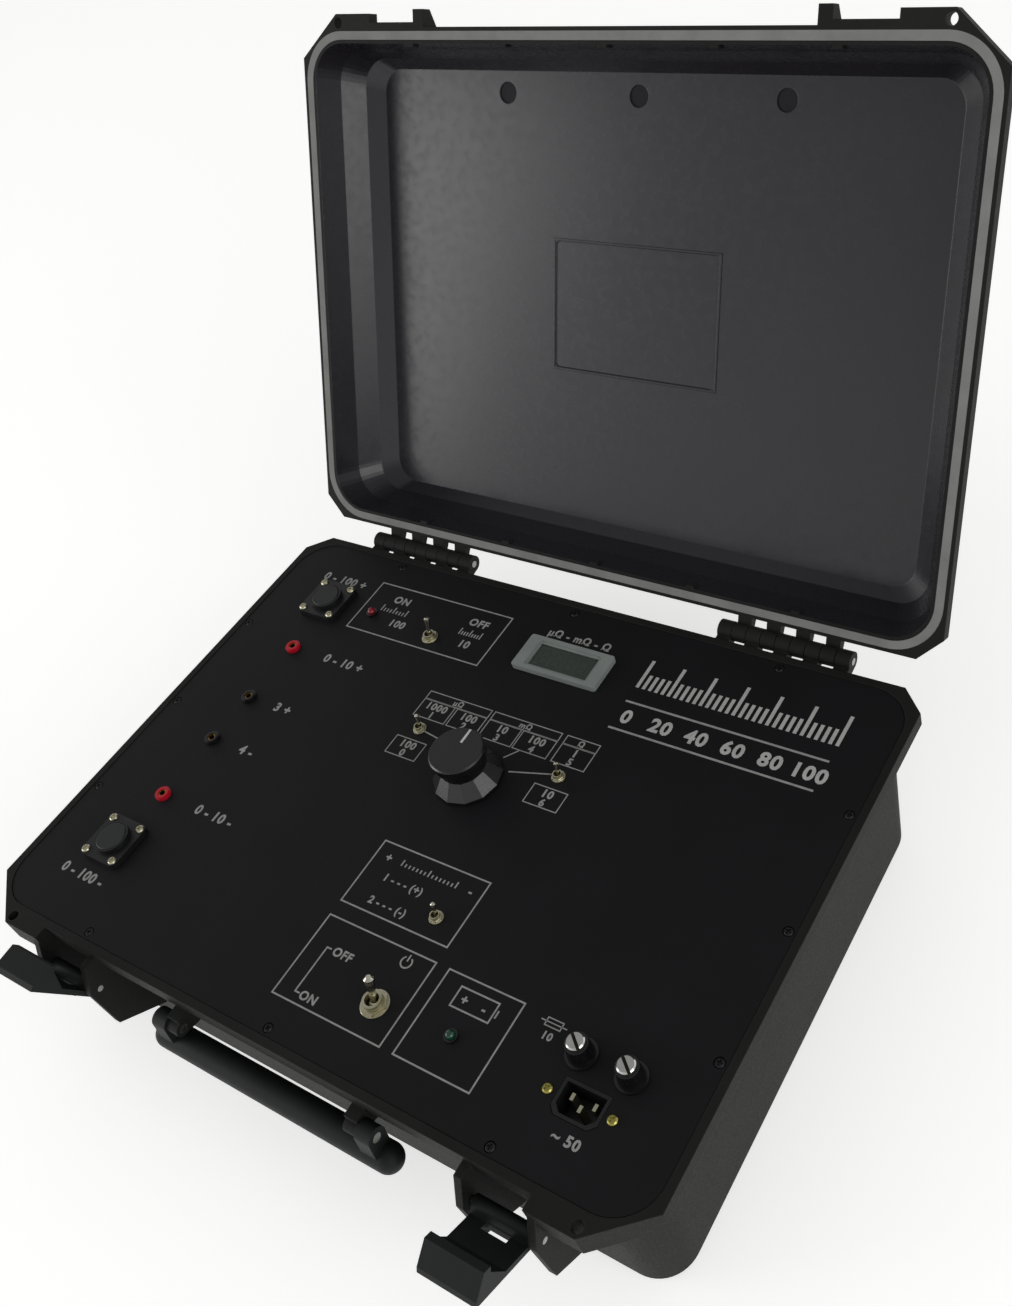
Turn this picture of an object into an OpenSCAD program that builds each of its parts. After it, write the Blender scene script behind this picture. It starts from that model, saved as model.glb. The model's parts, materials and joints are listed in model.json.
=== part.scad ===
// Bench and field micro ohmmeter built into a rugged transit case.
// X runs along the hinges to the right, Y to the back, Z up.
// The origin is the centre of the case's underside. The lid stands open.

/* [Case] */
// Width of the rim of base and lid
rim_w = 510; // [480:2:560]
// Depth of the rim from back to front
rim_d = 360; // [340:2:400]
// Height of the base from its underside to the rim
base_h = 124; // [118:1:150]
// Wall thickness of both shells
wall = 4; // [3:0.5:5]
// How far the rim stands out past the wall
rim_out = 11; // [9:0.5:13]
// Height of the rim at the sides and the back
rim_h = 10; // [8:0.5:12]
// Height of the deeper rim along the front
apron_h = 14; // [12:0.5:16]
// How much each wall leans in between rim and floor
draft = 4; // [2:0.5:6]
// Corner radius of the shells
corner_r = 28; // [22:1:34]
// Radius under the walls of the base
foot_r = 9; // [6:1:12]
// Size of the cut corners at the back of the rim
back_cut = 16; // [12:1:20]
// Size across of the cut corners at the front of the rim
front_cut = 33; // [28:1:36]

/* [Corner lugs] */
// How far the padlock lugs stand out in front of the rim
lug_out = 8.5; // [7:0.5:11]
// Height of a padlock lug on the base
lug_h = 18; // [15:0.5:22]
// Radius of the padlock holes
padlock_r = 3.5; // [3:0.25:4]
// Distance of the padlock holes from the rim's sides
padlock_in = 35; // [31:1:41]

/* [Lid] */
// Depth of the lid inside
lid_depth = 44; // [40:1:60]
// Height of the lid's rim
lid_rim_h = 8; // [6:0.5:10]
// How much narrower the lid's inner floor is than its mouth at each side
lid_lean = 27; // [18:1:32]
// How much narrower the lid's inner floor is than its mouth at front and back
lid_lean_front = 16; // [10:1:24]
// Width of the sealing strip
gasket_w = 5.5; // [4:0.5:6]
// Angle from closed to the open stop
lid_open = 117; // [100:1:125]
// Width of the recessed label field inside the lid
label_w = 130; // [100:2:160]
// Height of the recessed label field
label_h = 88; // [60:2:110]

/* [Hinges] */
// Distance of the hinge axis behind the rim
hinge_back = 11; // [9.5:0.5:13]
// Distance of the hinge axis below the rim
hinge_drop = 2; // [1:0.5:3]
// Outer radius of a hinge knuckle
knuckle_r = 6.5; // [5.5:0.25:7.5]
// Radius of a hinge pin
hinge_pin_r = 2.5; // [2:0.25:3]
// Length of each hinge
hinge_l = 95; // [70:1:110]
// Distance of each hinge's middle from the rim's sides
hinge_in = 102.5; // [90:0.5:125]

/* [Latches] */
// Width of a latch
latch_w = 37; // [32:0.5:38]
// Distance of each latch's middle from the rim's sides
latch_in = 83.5; // [83:0.5:105]
// Thickness of a latch plate
latch_t = 3.5; // [2.5:0.25:4]
// How far a latch's hook reaches over the strike lip of the lid
hook_bite = 2; // [1.5:0.25:2.5]
// Angle by which the right latch stands open
right_latch_open = 61.5; // [0:0.5:100]
// Angle by which the left latch stands open
left_latch_open = 27; // [0:0.5:100]
// Thickness of a guard rib beside a latch
guard_t = 5; // [4:0.5:6]
// How far a guard rib stands out from the wall
guard_out = 28; // [26:0.5:30]
// Height of a guard rib
guard_h = 80; // [60:1:90]

/* [Handle] */
// Width over the handle
handle_w = 195; // [160:1:220]
// Diameter of the grip
grip_t = 18; // [14:0.5:18]
// Distance from the handle's pivot to the bottom of its grip
handle_drop = 28; // [26:0.5:40]
// Radius of a handle pin
handle_pin_r = 3; // [2:0.25:3.5]

/* [Panel] */
// Thickness of the panel plate
panel_t = 3; // [2:0.5:4]
// Width of the rim lip that shows around the panel
panel_lip = 5.5; // [5:0.25:7]
// Distance between the screws along the panel's sides
side_screw_pitch = 81.5; // [70:0.5:95]
// Distance between the screws along the panel's front and back
front_screw_pitch = 158.5; // [140:0.5:175]

/* [Sockets] */
// Distance of the socket column from the rim's left side
socket_in = 61; // [55:1:70]
// Side of a high-current socket's flange
socket_flange = 34; // [30:0.5:38]
// Distance between the socket's screws
socket_pitch = 26.5; // [24:0.5:28]
// Radius of the collar of a high-current socket
collar_r = 12; // [11:0.5:12.5]
// Radius of the bore for a high-current plug
plug_r = 4; // [3:0.25:5]
// Radius of the bore of a 4 mm jack
jack_bore_r = 2; // [1.75:0.05:2.25]
// Radius of the flange of a jack
jack_flange_r = 5.5; // [5:0.25:6.5]

/* [Meter] */
// Width of the meter's bezel
bezel_w = 68; // [60:1:80]
// Height of the meter's bezel
bezel_h = 29.5; // [26:0.5:36]
// Width of the meter's window
window_w = 47; // [40:1:55]
// Height of the meter's window
window_h = 19; // [16:0.5:22]

/* [Range knob] */
// Place of the knob's axis across the panel
knob_x = 9.8; // [0:0.1:15]
// Place of the knob's axis towards the back
knob_y = 22; // [15:0.5:30]
// Radius of the knob's skirt over its corners
skirt_r = 23.5; // [21:0.5:27]
// Radius of the knob's crown
crown_r = 18.5; // [17:0.5:20]
// Height of the knob
knob_h = 27; // [24:0.5:32]
// Radius of the switch shaft
shaft_r = 3; // [2.5:0.25:3.5]

/* [Switches] */
// Radius of the bushing of the power switch
power_bush_r = 6; // [5:0.25:6.5]
// Length of the power switch's lever from its pivot
power_lever_l = 22; // [18:0.5:26]
// Lean of the power switch's lever
power_lean = 15; // [10:1:16]
// Radius of the bushing of the current switch
current_bush_r = 4; // [3.5:0.25:5]
// Length of the current switch's lever from its pivot
current_lever_l = 17; // [14:0.5:20]
// Lean of the current switch's lever
current_lean = 15; // [10:1:16]
// Radius of the bushing of the small switches
small_bush_r = 3.1; // [2.75:0.05:3.5]
// Length of a small switch's lever from its pivot
small_lever_l = 12.5; // [10:0.5:15]
// Lean of a small switch's lever
small_lean = 12; // [8:1:13]

/* [Fuses and inlet] */
// Distance between the two fuse holders
fuse_pitch = 31; // [26:0.5:36]
// Radius of a fuse cap
fuse_cap_r = 5.3; // [4.75:0.1:5.75]
// Height of a fuse holder above the panel, up to its cap
fuse_holder_h = 12.5; // [10:0.5:15]
// Distance between the inlet's screws
inlet_pitch = 40; // [40:0.5:42]
// Width of the inlet's recess
inlet_w = 24.5; // [24:0.25:26]
// Height of the inlet's recess
inlet_d = 16.5; // [16:0.25:18]

/* [Hidden] */

$fn = 48;
// Overrun of every cut past the face that it opens
over = 1;
// Clearance of a shaft or pin in its bore
run_gap = 0.05;
// Clearance between pieces that are fitted loosely
fit_gap = 0.3;
// Clearance between the closed rims
lid_gap = 0.4;
// Thickness of a slice in a hull, and overlap of joined solids
slice_t = 0.02;

// Heights
panel_seat = 3.4;
panel_top = base_h - panel_seat + panel_t;
panel_under = base_h - panel_seat;
lid_z = base_h + lid_gap;

// Plan sizes of the panel and of the tub
panel_w = rim_w - 2 * panel_lip;
panel_d = rim_d - 2 * panel_lip - lid_gap;
tub_w = rim_w - 2 * rim_out;
tub_d = rim_d - 2 * rim_out;
front_y = -rim_d / 2;
back_y = rim_d / 2;
wall_front_y = -tub_d / 2;

// Latch and guard places
latch_x = rim_w / 2 - latch_in;
padlock_x = rim_w / 2 - padlock_in;
latch_play = 2;
guard_x = latch_x - latch_w / 2 - latch_play - guard_t / 2;
guard_x2 = latch_x + latch_w / 2 + latch_play + guard_t / 2;
lug_gap = 1;
lug_x = latch_x + latch_w / 2 + lug_gap;
// Guard rib outline as shares of its reach and its height
guard_shares = [[0, 0], [0.7, 0], [1, 0.25], [0.95, 0.7], [0, 1]];
guard_top_drop = 6;
latch_pin_r = 2;
latch_barrel_r = 4.2;
latch_pivot_in = 7;
latch_pivot_drop = 28;
latch_pivot_y = wall_front_y - guard_out + latch_pivot_in;
latch_pivot_z = base_h - latch_pivot_drop;
// The plate lies this far outside the pivot; a gusset carries the hook
latch_offset = 4.4;
strike_out = 3;
strike_t = 6;
hook_gap = 0.5;
hook_t = 5;
hook_tip_t = 6;
hook_z = lid_z + strike_t + hook_gap - latch_pivot_z;
hook_y = front_y - strike_out + hook_bite - latch_pivot_y;
gusset_w = 3.5;
gusset_drop = 12;
gusset_y = hook_y - gusset_w;
gusset_z = hook_z - gusset_drop;
latch_top = hook_z + hook_t + hook_tip_t;
latch_slot_w = 16;
latch_slot_h = 4.6;
latch_slot_z = latch_barrel_r + fit_gap;
lid_guard_w = 9;
lid_guard_h = 14;
lid_guard_out = 11;
lid_guard_x = latch_x - latch_w / 2 - lug_gap - lid_guard_w / 2;

// Hinge places
hinge_x = rim_w / 2 - hinge_in;
hinge_y = back_y + hinge_back;
hinge_z = base_h - hinge_drop;
knuckles = 9;
knuckle_pitch = hinge_l / knuckles;
base_web = [[back_y - over, base_h - rim_h], [hinge_y, hinge_z - knuckle_r],
    [hinge_y, hinge_z], [back_y - over, hinge_z]];
lid_web = [[back_y - over, lid_z], [hinge_y - knuckle_r, lid_z], [hinge_y, hinge_z],
    [hinge_y, hinge_z + knuckle_r], [back_y - over, lid_z + lid_rim_h]];

// Handle places
handle_out = 8;
handle_low = 7.5;
handle_pivot_y = front_y - handle_out;
handle_pivot_z = base_h - apron_h - handle_low;
leg_w = 11;
leg_r = 6.5;
leg_inset = 16;
leg_x = handle_w / 2 - leg_inset;
ear_w = 9;
ear_r = 5;
ear_x = leg_x - leg_w / 2 - fit_gap - ear_w / 2;
grip_r = grip_t / 2;
grip_out = 2;

// Panel item places, each measured from the rim's nearest edges
socket_x = rim_w / 2 - socket_in;
socket_front_in = 68;
socket_back_in = 60;
socket_ys = [back_y - socket_back_in, front_y + socket_front_in];
jack_in = 65;
red_jack_back_in = 107.5;
red_jack_front_in = 111;
jack_x = jack_in - rim_w / 2;
red_jack_ys = [back_y - red_jack_back_in, front_y + red_jack_front_in];
black_jack_ys = [22, -18];
meter_x = 18;
meter_in = 54;
meter_y = back_y - meter_in;
current_switch_side_in = 163.5;
current_switch_in = 64.5;
current_switch_x = current_switch_side_in - rim_w / 2;
current_switch_y = back_y - current_switch_in;
red_led_side_in = 103.5;
red_led_in = 58.5;
red_led_x = red_led_side_in - rim_w / 2;
red_led_y = back_y - red_led_in;
range_switch_half = 56.5;
range_switch_up = 21;
left_switch_x = knob_x - range_switch_half;
right_switch_x = knob_x + range_switch_half;
range_switch_y = knob_y + range_switch_up;
polarity_x = 51.5;
polarity_in = 108.5;
polarity_y = front_y + polarity_in;
power_x = 51;
power_in = 48.5;
power_y = front_y + power_in;
green_led_step = 53;
green_led_in = 51;
green_led_x = power_x + green_led_step;
green_led_y = front_y + green_led_in;
fuse_side_in = 63;
fuse_in = 72.5;
fuse_x = rim_w / 2 - fuse_side_in;
fuse_y = front_y + fuse_in;
inlet_side_in = 65.5;
inlet_in = 49;
inlet_x = rim_w / 2 - inlet_side_in;
inlet_y = front_y + inlet_in;

// Small parts of the panel
screw_r = 1.5;
screw_head_r = 3;
screw_head_h = 1.6;
screw_l = 5;
small_screw_l = 6;
screw_proud = 0.3;
edge_inset = 4.7;
socket_flange_t = 4;
collar_h = 3.5;
socket_cap_r = 10.5;
socket_cap_t = 3;
socket_cap_proud = 0.6;
// Height of the cap's underside above the panel
cap_low = socket_flange_t + collar_h + socket_cap_proud - socket_cap_t;
cap_plug_l = 6;
socket_body_r = 11;
socket_body_l = 22;
contact_r = 6.5;
stud_r = 4;
stud_l = 6;
jack_flange_h = 3;
jack_neck_r = 3.9;
jack_body_l = 22;
jack_wall = 0.8;
jack_nut_r = 6;
nut_t = 2.4;
bezel_t = 4;
window_drop = 1.4;
window_t = 1.2;
module_w = 62;
module_h = 24;
module_d = 22;

// Rotary switch and knob
bush_r = 4.7;
bush_top = 6;
switch_body_r = 18;
switch_body_h = 18;
switch_nut_r = 8;
knob_lift = 0.8;
skirt_h = 2;
flare_h = 12;
waist_r = 16;
crown_low = 22;
crown_cut = 1;
knob_flats = 12;
waist_in_r = waist_r * cos(180 / knob_flats);
flute_r = 2;
flute_out = 1.2;
pointer_w = 1.5;
pointer_l = 11;
pointer_in = 6;
pointer_proud = 0.3;
shaft_in = 12;
shaft_top = 8;

// Toggle switch sizes as shares of the bushing's radius, and of the lever's length
toggle_ball = 0.68;
toggle_neck = 0.36;
toggle_tip = 0.5;
toggle_washer = 1.5;
toggle_hex = 1.42;
toggle_flare = 0.45;
// Bodies of the toggle switches and how far their bushings rise
power_box = [30, 18, 30];
power_rise = 6;
current_box = [20, 13, 18];
current_rise = 4.5;
small_box = [8, 13, 11];
small_rise = 4;

// Indicator lamps
led_r = 2.9;
led_h = 5;
led_holder_r = 4.2;
led_holder_h = 1.6;
led_leg_l = 12;

// Fuse holders and inlet
fuse_ring_r = 9.3;
fuse_ring_h = 1.6;
fuse_neck_r = 7.8;
fuse_top_r = 6.6;
fuse_cap_h = 3;
fuse_plug_l = 12;
fuse_slot_turn = 40;
fuse_body_r = 6.2;
fuse_body_l = 32;
fuse_link_r = 2.5;
fuse_link_l = 20;
fuse_socket_r = 4.2;
fuse_slot_w = 1.8;
fuse_slot_d = 1.6;
inlet_wall = 2;
inlet_depth = 17;
inlet_flange_t = 3;
inlet_cut = 4;
pin_w = 4;
pin_t = 2;
pin_l = 14;
pin_pitch = 14;
earth_step = 4;
pin_shift = 2.8;

// Inner parts
floor_w = tub_w - 2 * (draft + wall + foot_r);
battery_w = 65;
battery_l = 151;
battery_room = 30;
battery_h = base_h - battery_room;
battery_gap = 2;
strap_t = 2;
strap_w = 20;
strap_play = 1;
battery_x = floor_w / 2 - strap_play - strap_w - strap_t - battery_w - battery_gap / 2;
battery_left = battery_x - battery_w - battery_gap / 2;
battery_in = 125;
battery_y = back_y - battery_in;
terminal_w = 6;
core_w = 66;
core_d = 55;
core_h = 56;
limb = core_w / 6;
transformer_side_in = 105;
transformer_in = 66;
transformer_x = rim_w / 2 - transformer_side_in;
transformer_y = front_y + transformer_in;
board_t = 1.6;
cap_r = 9;
cap_h = 30;
chip = 8;
boss_h = 8;
boss_r = 4;
standoff_r = 3;
standoff_in = 6;
measuring_w = rim_w * 0.2314;
measuring_d = 100;
measuring_drop = 36;
measuring_gap = 3.2;
measuring_z = base_h - measuring_drop;
measuring_x = battery_left - measuring_gap - measuring_w / 2;
measuring_y = knob_y - boss_r;
sink_side_in = 105;
sink_in = 100;
sink_x = sink_side_in - rim_w / 2;
sink_y = back_y - sink_in;
sink_w = 150;
sink_d = 110;
sink_h = 46;
sink_base = 8;
sink_fins = 15;
fin_t = 2.4;
transistors = 4;
transistor_w = 16;
transistor_l = 20;
transistor_t = 5;
shunt_in = 110;
shunt_x = sink_x;
shunt_y = front_y + shunt_in;
shunt_block_w = 22;
shunt_block_l = 60;
shunt_block_h = 24;
shunt_span = 60;
rod_r = 4;
rods = 4;
bar_w = 18;
bar_t = 2.5;
charger_w = rim_w * 0.255;
charger_d = 84;
charger_x = (shunt_x + shunt_span / 2 + shunt_block_w + transformer_x - core_w / 2) / 2;
charger_y = front_y + socket_front_in;

// Place of the lid parts as they stand open
module opened() {
    translate([0, hinge_y, hinge_z])
        rotate([-lid_open, 0, 0])
            translate([0, -hinge_y, -hinge_z])
                children();
}

// Rounded rectangle with true arcs
module rounded(w, d, r) {
    square([w - 2 * r, d], center = true);
    square([w, d - 2 * r], center = true);
    for (sx = [-1, 1], sy = [-1, 1])
        translate([sx * (w / 2 - r), sy * (d / 2 - r)])
            circle(r = r);
}

// Thin rounded slice, for the hulls of the shells
module slice(w, d, r, z) {
    translate([0, 0, z])
        linear_extrude(slice_t)
            rounded(w, d, r);
}
// Outline of the rim with its cut corners and the two padlock lugs
module rim_outline() {
    hw = rim_w / 2;
    lug_y = front_y - lug_out;
    cut_y = lug_y + front_cut - lug_out / 2;
    polygon([[-hw, cut_y], [-hw + front_cut, lug_y], [-lug_x, lug_y], [-lug_x, front_y],
        [lug_x, front_y], [lug_x, lug_y], [hw - front_cut, lug_y], [hw, cut_y],
        [hw, back_y - back_cut], [hw - back_cut, back_y],
        [-hw + back_cut, back_y], [-hw, back_y - back_cut]]);
}

// Front stretch of the rim's outline, for the deeper apron
module apron_outline() {
    depth = lug_out + rim_out + wall;
    intersection() {
        rim_outline();
        translate([-rim_w, front_y - lug_out])
            square([2 * rim_w, depth]);
    }
}

// The two front corners of the rim's outline, which carry the padlock holes
module lug_outline() {
    intersection() {
        rim_outline();
        for (x = [-rim_w, lug_x])
            translate([x, front_y - lug_out])
                square([rim_w - lug_x, lug_out + rim_out]);
    }
}

// Body swept along X from an outline in Y and Z
module along_x(x, w) {
    translate([x - w / 2, 0, 0])
        rotate([90, 0, 90])
            linear_extrude(w)
                children();
}

// Pin or bore along X
module bar_x(x, w, y, z, r) {
    translate([x - w / 2, y, z])
        rotate([0, 90, 0])
            cylinder(h = w, r = r);
}

// Hexagon nut or head
module hex(r, h) {
    cylinder(h = h, r = r, $fn = 6);
}

// One knuckle with the web that ties it to its rim
module knuckle(x, web) {
    w = knuckle_pitch - 2 * fit_gap;
    bar_x(x, w, hinge_y, hinge_z, knuckle_r);
    along_x(x, w)
        polygon(web);
}

// Places of the knuckles of one shell: every second place of both hinges
function knuckle_xs(first) = [for (s = [-1, 1], i = [first : 2 : knuckles - 1])
    s * hinge_x + (i - (knuckles - 1) / 2) * knuckle_pitch];

// Triangular guard rib beside a latch
module guard_rib(x) {
    root_y = wall_front_y + wall;
    along_x(x, guard_t)
        polygon([for (p = guard_shares)
            [root_y - (p[0] == 0 ? 0 : p[0] * guard_out + wall), base_h - guard_top_drop - p[1] * guard_h]]);
}

// Ear that carries one end of the handle
module handle_ear(x) {
    root_y = wall_front_y + wall;
    bar_x(x, ear_w, handle_pivot_y, handle_pivot_z, ear_r);
    along_x(x, ear_w)
        polygon([[handle_pivot_y, handle_pivot_z - ear_r], [handle_pivot_y, base_h - apron_h + over],
            [root_y, base_h - apron_h + over], [root_y, handle_pivot_z - 2 * ear_r]]);
}

// Places of the twelve screws around the panel
function edge_screws() = concat(
    [for (s = [-1, 1], i = [-1, 0, 1]) [s * (panel_w / 2 - edge_inset), i * side_screw_pitch]],
    [for (s = [-1, 1], i = [-1, 0, 1]) [i * front_screw_pitch, s * (panel_d / 2 - edge_inset)]]);

// Places of the four screws of one high-current socket
function socket_screw_places() = [for (y = socket_ys, sx = [-1, 1], sy = [-1, 1])
    [-socket_x + sx * socket_pitch / 2, y + sy * socket_pitch / 2]];

// Corners of the measuring board's standoffs
function standoff_places() = [for (sx = [-1, 1], sy = [-1, 1])
    [measuring_x + sx * (measuring_w / 2 - standoff_in), measuring_y + sy * (measuring_d / 2 - standoff_in)]];

// Bosses of the charger board on the floor of the base
function boss_places() = [for (sx = [-1, 1], sy = [-1, 1])
    [charger_x + sx * (charger_w / 2 - standoff_in), charger_y + sy * (charger_d / 2 - standoff_in)]];

small_switch_places = [[left_switch_x, range_switch_y], [right_switch_x, range_switch_y],
    [polarity_x, polarity_y]];

// Tub of the base, shrunk by the wall w, up to the height top
module tub(w, top) {
    hull() {
        slice(tub_w - 2 * w, tub_d - 2 * w, corner_r - w, top);
        for (p = foot_shares)
            slice(tub_w - 2 * (draft + w + foot_r * p[0]), tub_d - 2 * (draft + w + foot_r * p[0]),
                corner_r - draft - w - foot_r * p[0], w + foot_r * p[1]);
    }
}
// Rounding under the walls as shares of its radius: inset and height
foot_shares = [[0, 1], [0.29, 0.29], [1, 0]];

module base_shell() color("#26272a") {
    difference() {
        union() {
            tub(0, base_h - rim_h);
            translate([0, 0, base_h - rim_h])
                linear_extrude(rim_h)
                    rim_outline();
            translate([0, 0, base_h - apron_h])
                linear_extrude(apron_h)
                    apron_outline();
            translate([0, 0, base_h - lug_h])
                linear_extrude(lug_h)
                    lug_outline();
            for (s = [-1, 1]) {
                guard_rib(s * guard_x);
                guard_rib(s * guard_x2);
                handle_ear(s * ear_x);
            }
            for (x = knuckle_xs(0))
                knuckle(x, base_web);
        }
        tub(wall, base_h);
        translate([0, 0, panel_under])
            linear_extrude(panel_seat + over)
                rounded(panel_w + 2 * fit_gap, panel_d + 2 * fit_gap, corner_r);
        for (p = edge_screws())
            translate([p[0], p[1], panel_under - screw_l - fit_gap])
                cylinder(h = screw_l + fit_gap + over, r = screw_r + run_gap);
        for (s = [-1, 1]) {
            bar_x(s * hinge_x, hinge_l + 2 * over, hinge_y, hinge_z, hinge_pin_r + run_gap);
            bar_x(s * latch_x, guard_x2 - guard_x + guard_t + 2 * over, latch_pivot_y, latch_pivot_z,
                latch_pin_r + run_gap);
            bar_x(s * ear_x, ear_w + 2 * over, handle_pivot_y, handle_pivot_z, handle_pin_r + run_gap);
            translate([s * padlock_x, front_y - lug_out / 3, base_h - lug_h - over])
                cylinder(h = lug_h + 2 * over, r = padlock_r);
        }
    }
    for (p = boss_places())
        translate([p[0], p[1], wall - slice_t])
            cylinder(h = boss_h + slice_t, r = boss_r);
}

module front_panel() color("#1b1b1e") {
    difference() {
        translate([0, 0, panel_under])
            linear_extrude(panel_t)
                difference() {
                    rounded(panel_w, panel_d, corner_r);
                    for (p = socket_screw_places())
                        translate(p)
                            circle(r = screw_r + fit_gap);
                    for (y = socket_ys)
                        translate([-socket_x, y])
                            circle(r = socket_body_r + fit_gap);
                    for (y = concat(red_jack_ys, black_jack_ys))
                        translate([jack_x, y])
                            circle(r = jack_neck_r + fit_gap);
                    translate([meter_x, meter_y])
                        square([module_w + 2 * fit_gap, module_h + 2 * fit_gap], center = true);
                    translate([knob_x, knob_y])
                        circle(r = bush_r + fit_gap);
                    translate([power_x, power_y])
                        circle(r = power_bush_r + fit_gap);
                    translate([current_switch_x, current_switch_y])
                        circle(r = current_bush_r + fit_gap);
                    for (p = small_switch_places)
                        translate(p)
                            circle(r = small_bush_r + fit_gap);
                    translate([red_led_x, red_led_y])
                        circle(r = led_holder_r - 2 * fit_gap);
                    translate([green_led_x, green_led_y])
                        circle(r = led_holder_r - 2 * fit_gap);
                    for (s = [-1, 1])
                        translate([fuse_x + s * fuse_pitch / 2, fuse_y])
                            circle(r = fuse_body_r + fit_gap);
                    translate([inlet_x, inlet_y])
                        inlet_outline(inlet_wall + fit_gap);
                    for (s = [-1, 1])
                        translate([inlet_x + s * inlet_pitch / 2, inlet_y])
                            circle(r = screw_r + fit_gap);
                }
        for (p = edge_screws())
            translate([p[0], p[1], panel_under - over]) {
                cylinder(h = panel_t + 2 * over, r = screw_r + fit_gap);
                translate([0, 0, over + panel_t - screw_head_h - run_gap])
                    cylinder(h = screw_head_h + over, r = screw_head_r + fit_gap);
            }
    }
}

// Domed screw head with its shank, head seated at height z
module panel_screw(x, y, z, shank) {
    translate([x, y, z]) {
        cylinder(h = screw_head_h / 2, r = screw_head_r);
        translate([0, 0, screw_head_h / 2])
            cylinder(h = screw_head_h / 2, r1 = screw_head_r, r2 = screw_head_r - screw_head_h / 2);
    }
    translate([x, y, z - shank])
        cylinder(h = shank, r = screw_r);
}

// Flat-headed screws, sunk into the panel so that the lid shuts over them
module panel_screws() color("#2b2b2e") {
    for (p = edge_screws())
        panel_screw(p[0], p[1], panel_top - screw_head_h + screw_proud, panel_t - screw_head_h + screw_l);
}

module meter_bezel() color("#8d928f") {
    translate([meter_x, meter_y, panel_top])
        difference() {
            linear_extrude(bezel_t)
                rounded(bezel_w, bezel_h, bezel_t / 2);
            translate([0, 0, bezel_t - window_drop])
                linear_extrude(window_drop + over)
                    rounded(window_w + bezel_t, window_h + bezel_t, bezel_t / 2);
            translate([0, 0, -over])
                linear_extrude(bezel_t + 2 * over)
                    square([window_w, window_h], center = true);
        }
}

module meter_window() color("#5d6660") {
    translate([meter_x - window_w / 2, meter_y - window_h / 2, panel_top + bezel_t - window_drop - window_t])
        cube([window_w, window_h, window_t]);
}

module meter_module() color("#202022") {
    top = panel_top + bezel_t - window_drop - window_t;
    translate([meter_x, meter_y, 0]) {
        translate([-module_w / 2, -module_h / 2, panel_top - module_d])
            cube([module_w, module_h, module_d]);
        translate([-window_w / 2, -window_h / 2, panel_top - slice_t])
            cube([window_w, window_h, top - panel_top + slice_t]);
    }
}

module current_sockets() color("#161618") {
    for (y = socket_ys)
        translate([-socket_x, y, panel_top])
            difference() {
                union() {
                    linear_extrude(socket_flange_t)
                        rounded(socket_flange, socket_flange, socket_flange_t);
                    cylinder(h = socket_flange_t + collar_h, r = collar_r);
                    translate([0, 0, -panel_t - socket_body_l])
                        cylinder(h = socket_body_l + panel_t + over, r = socket_body_r);
                }
                translate([0, 0, cap_low - run_gap])
                    cylinder(h = socket_cap_t + over, r = socket_cap_r + fit_gap);
                translate([0, 0, -panel_t - socket_body_l - over])
                    cylinder(h = socket_body_l + panel_t + socket_flange_t + collar_h + 2 * over,
                        r = contact_r + run_gap);
                for (sx = [-1, 1], sy = [-1, 1])
                    translate([sx * socket_pitch / 2, sy * socket_pitch / 2, -over])
                        cylinder(h = socket_flange_t + 2 * over, r = screw_r + fit_gap);
            }
}

module socket_contacts() color("#b08d4a") {
    tube_l = socket_body_l + panel_t + cap_low - fit_gap;
    for (y = socket_ys)
        translate([-socket_x, y, panel_under - socket_body_l])
            difference() {
                union() {
                    cylinder(h = tube_l, r = contact_r);
                    translate([0, 0, -stud_l])
                        cylinder(h = stud_l + over, r = stud_r);
                }
                translate([0, 0, stud_l])
                    cylinder(h = tube_l, r = plug_r);
            }
}

module socket_screws() color("#c9c6b4") {
    for (p = socket_screw_places())
        panel_screw(p[0], p[1], panel_top + socket_flange_t, socket_flange_t + small_screw_l);
}

// Dust cap that closes a high-current socket, with the plug that holds it
module socket_cap(y) {
    translate([-socket_x, y, panel_top + cap_low])
        difference() {
            union() {
                cylinder(h = socket_cap_t - socket_cap_proud, r = socket_cap_r);
                translate([0, 0, socket_cap_t - socket_cap_proud])
                    cylinder(h = socket_cap_proud, r1 = socket_cap_r, r2 = socket_cap_r - socket_cap_proud);
                translate([0, 0, -cap_plug_l])
                    cylinder(h = cap_plug_l + over, r = plug_r - run_gap);
            }
            translate([0, 0, -cap_plug_l - over])
                cylinder(h = cap_plug_l, r = plug_r / 2);
        }
}

module socket_cap_front() color("#1e1f1f") {
    socket_cap(socket_ys[1]);
}

module socket_cap_back() color("#1e1f1f") {
    socket_cap(socket_ys[0]);
}

// Moulded insulator of a 4 mm jack
module jack(y) {
    translate([jack_x, y, panel_top])
        difference() {
            union() {
                cylinder(h = jack_flange_h - jack_wall, r = jack_flange_r);
                cylinder(h = jack_flange_h, r = jack_flange_r - jack_wall);
                translate([0, 0, -panel_t - jack_body_l])
                    cylinder(h = jack_body_l + panel_t + over, r = jack_neck_r);
            }
            translate([0, 0, -panel_t - jack_body_l - over])
                cylinder(h = jack_body_l + panel_t + jack_flange_h + 2 * over,
                    r = jack_bore_r + jack_wall + run_gap);
        }
}

module red_jacks() color("#c8142c") {
    for (y = red_jack_ys)
        jack(y);
}

module black_jacks() color("#141416") {
    for (y = black_jack_ys)
        jack(y);
}

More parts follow.
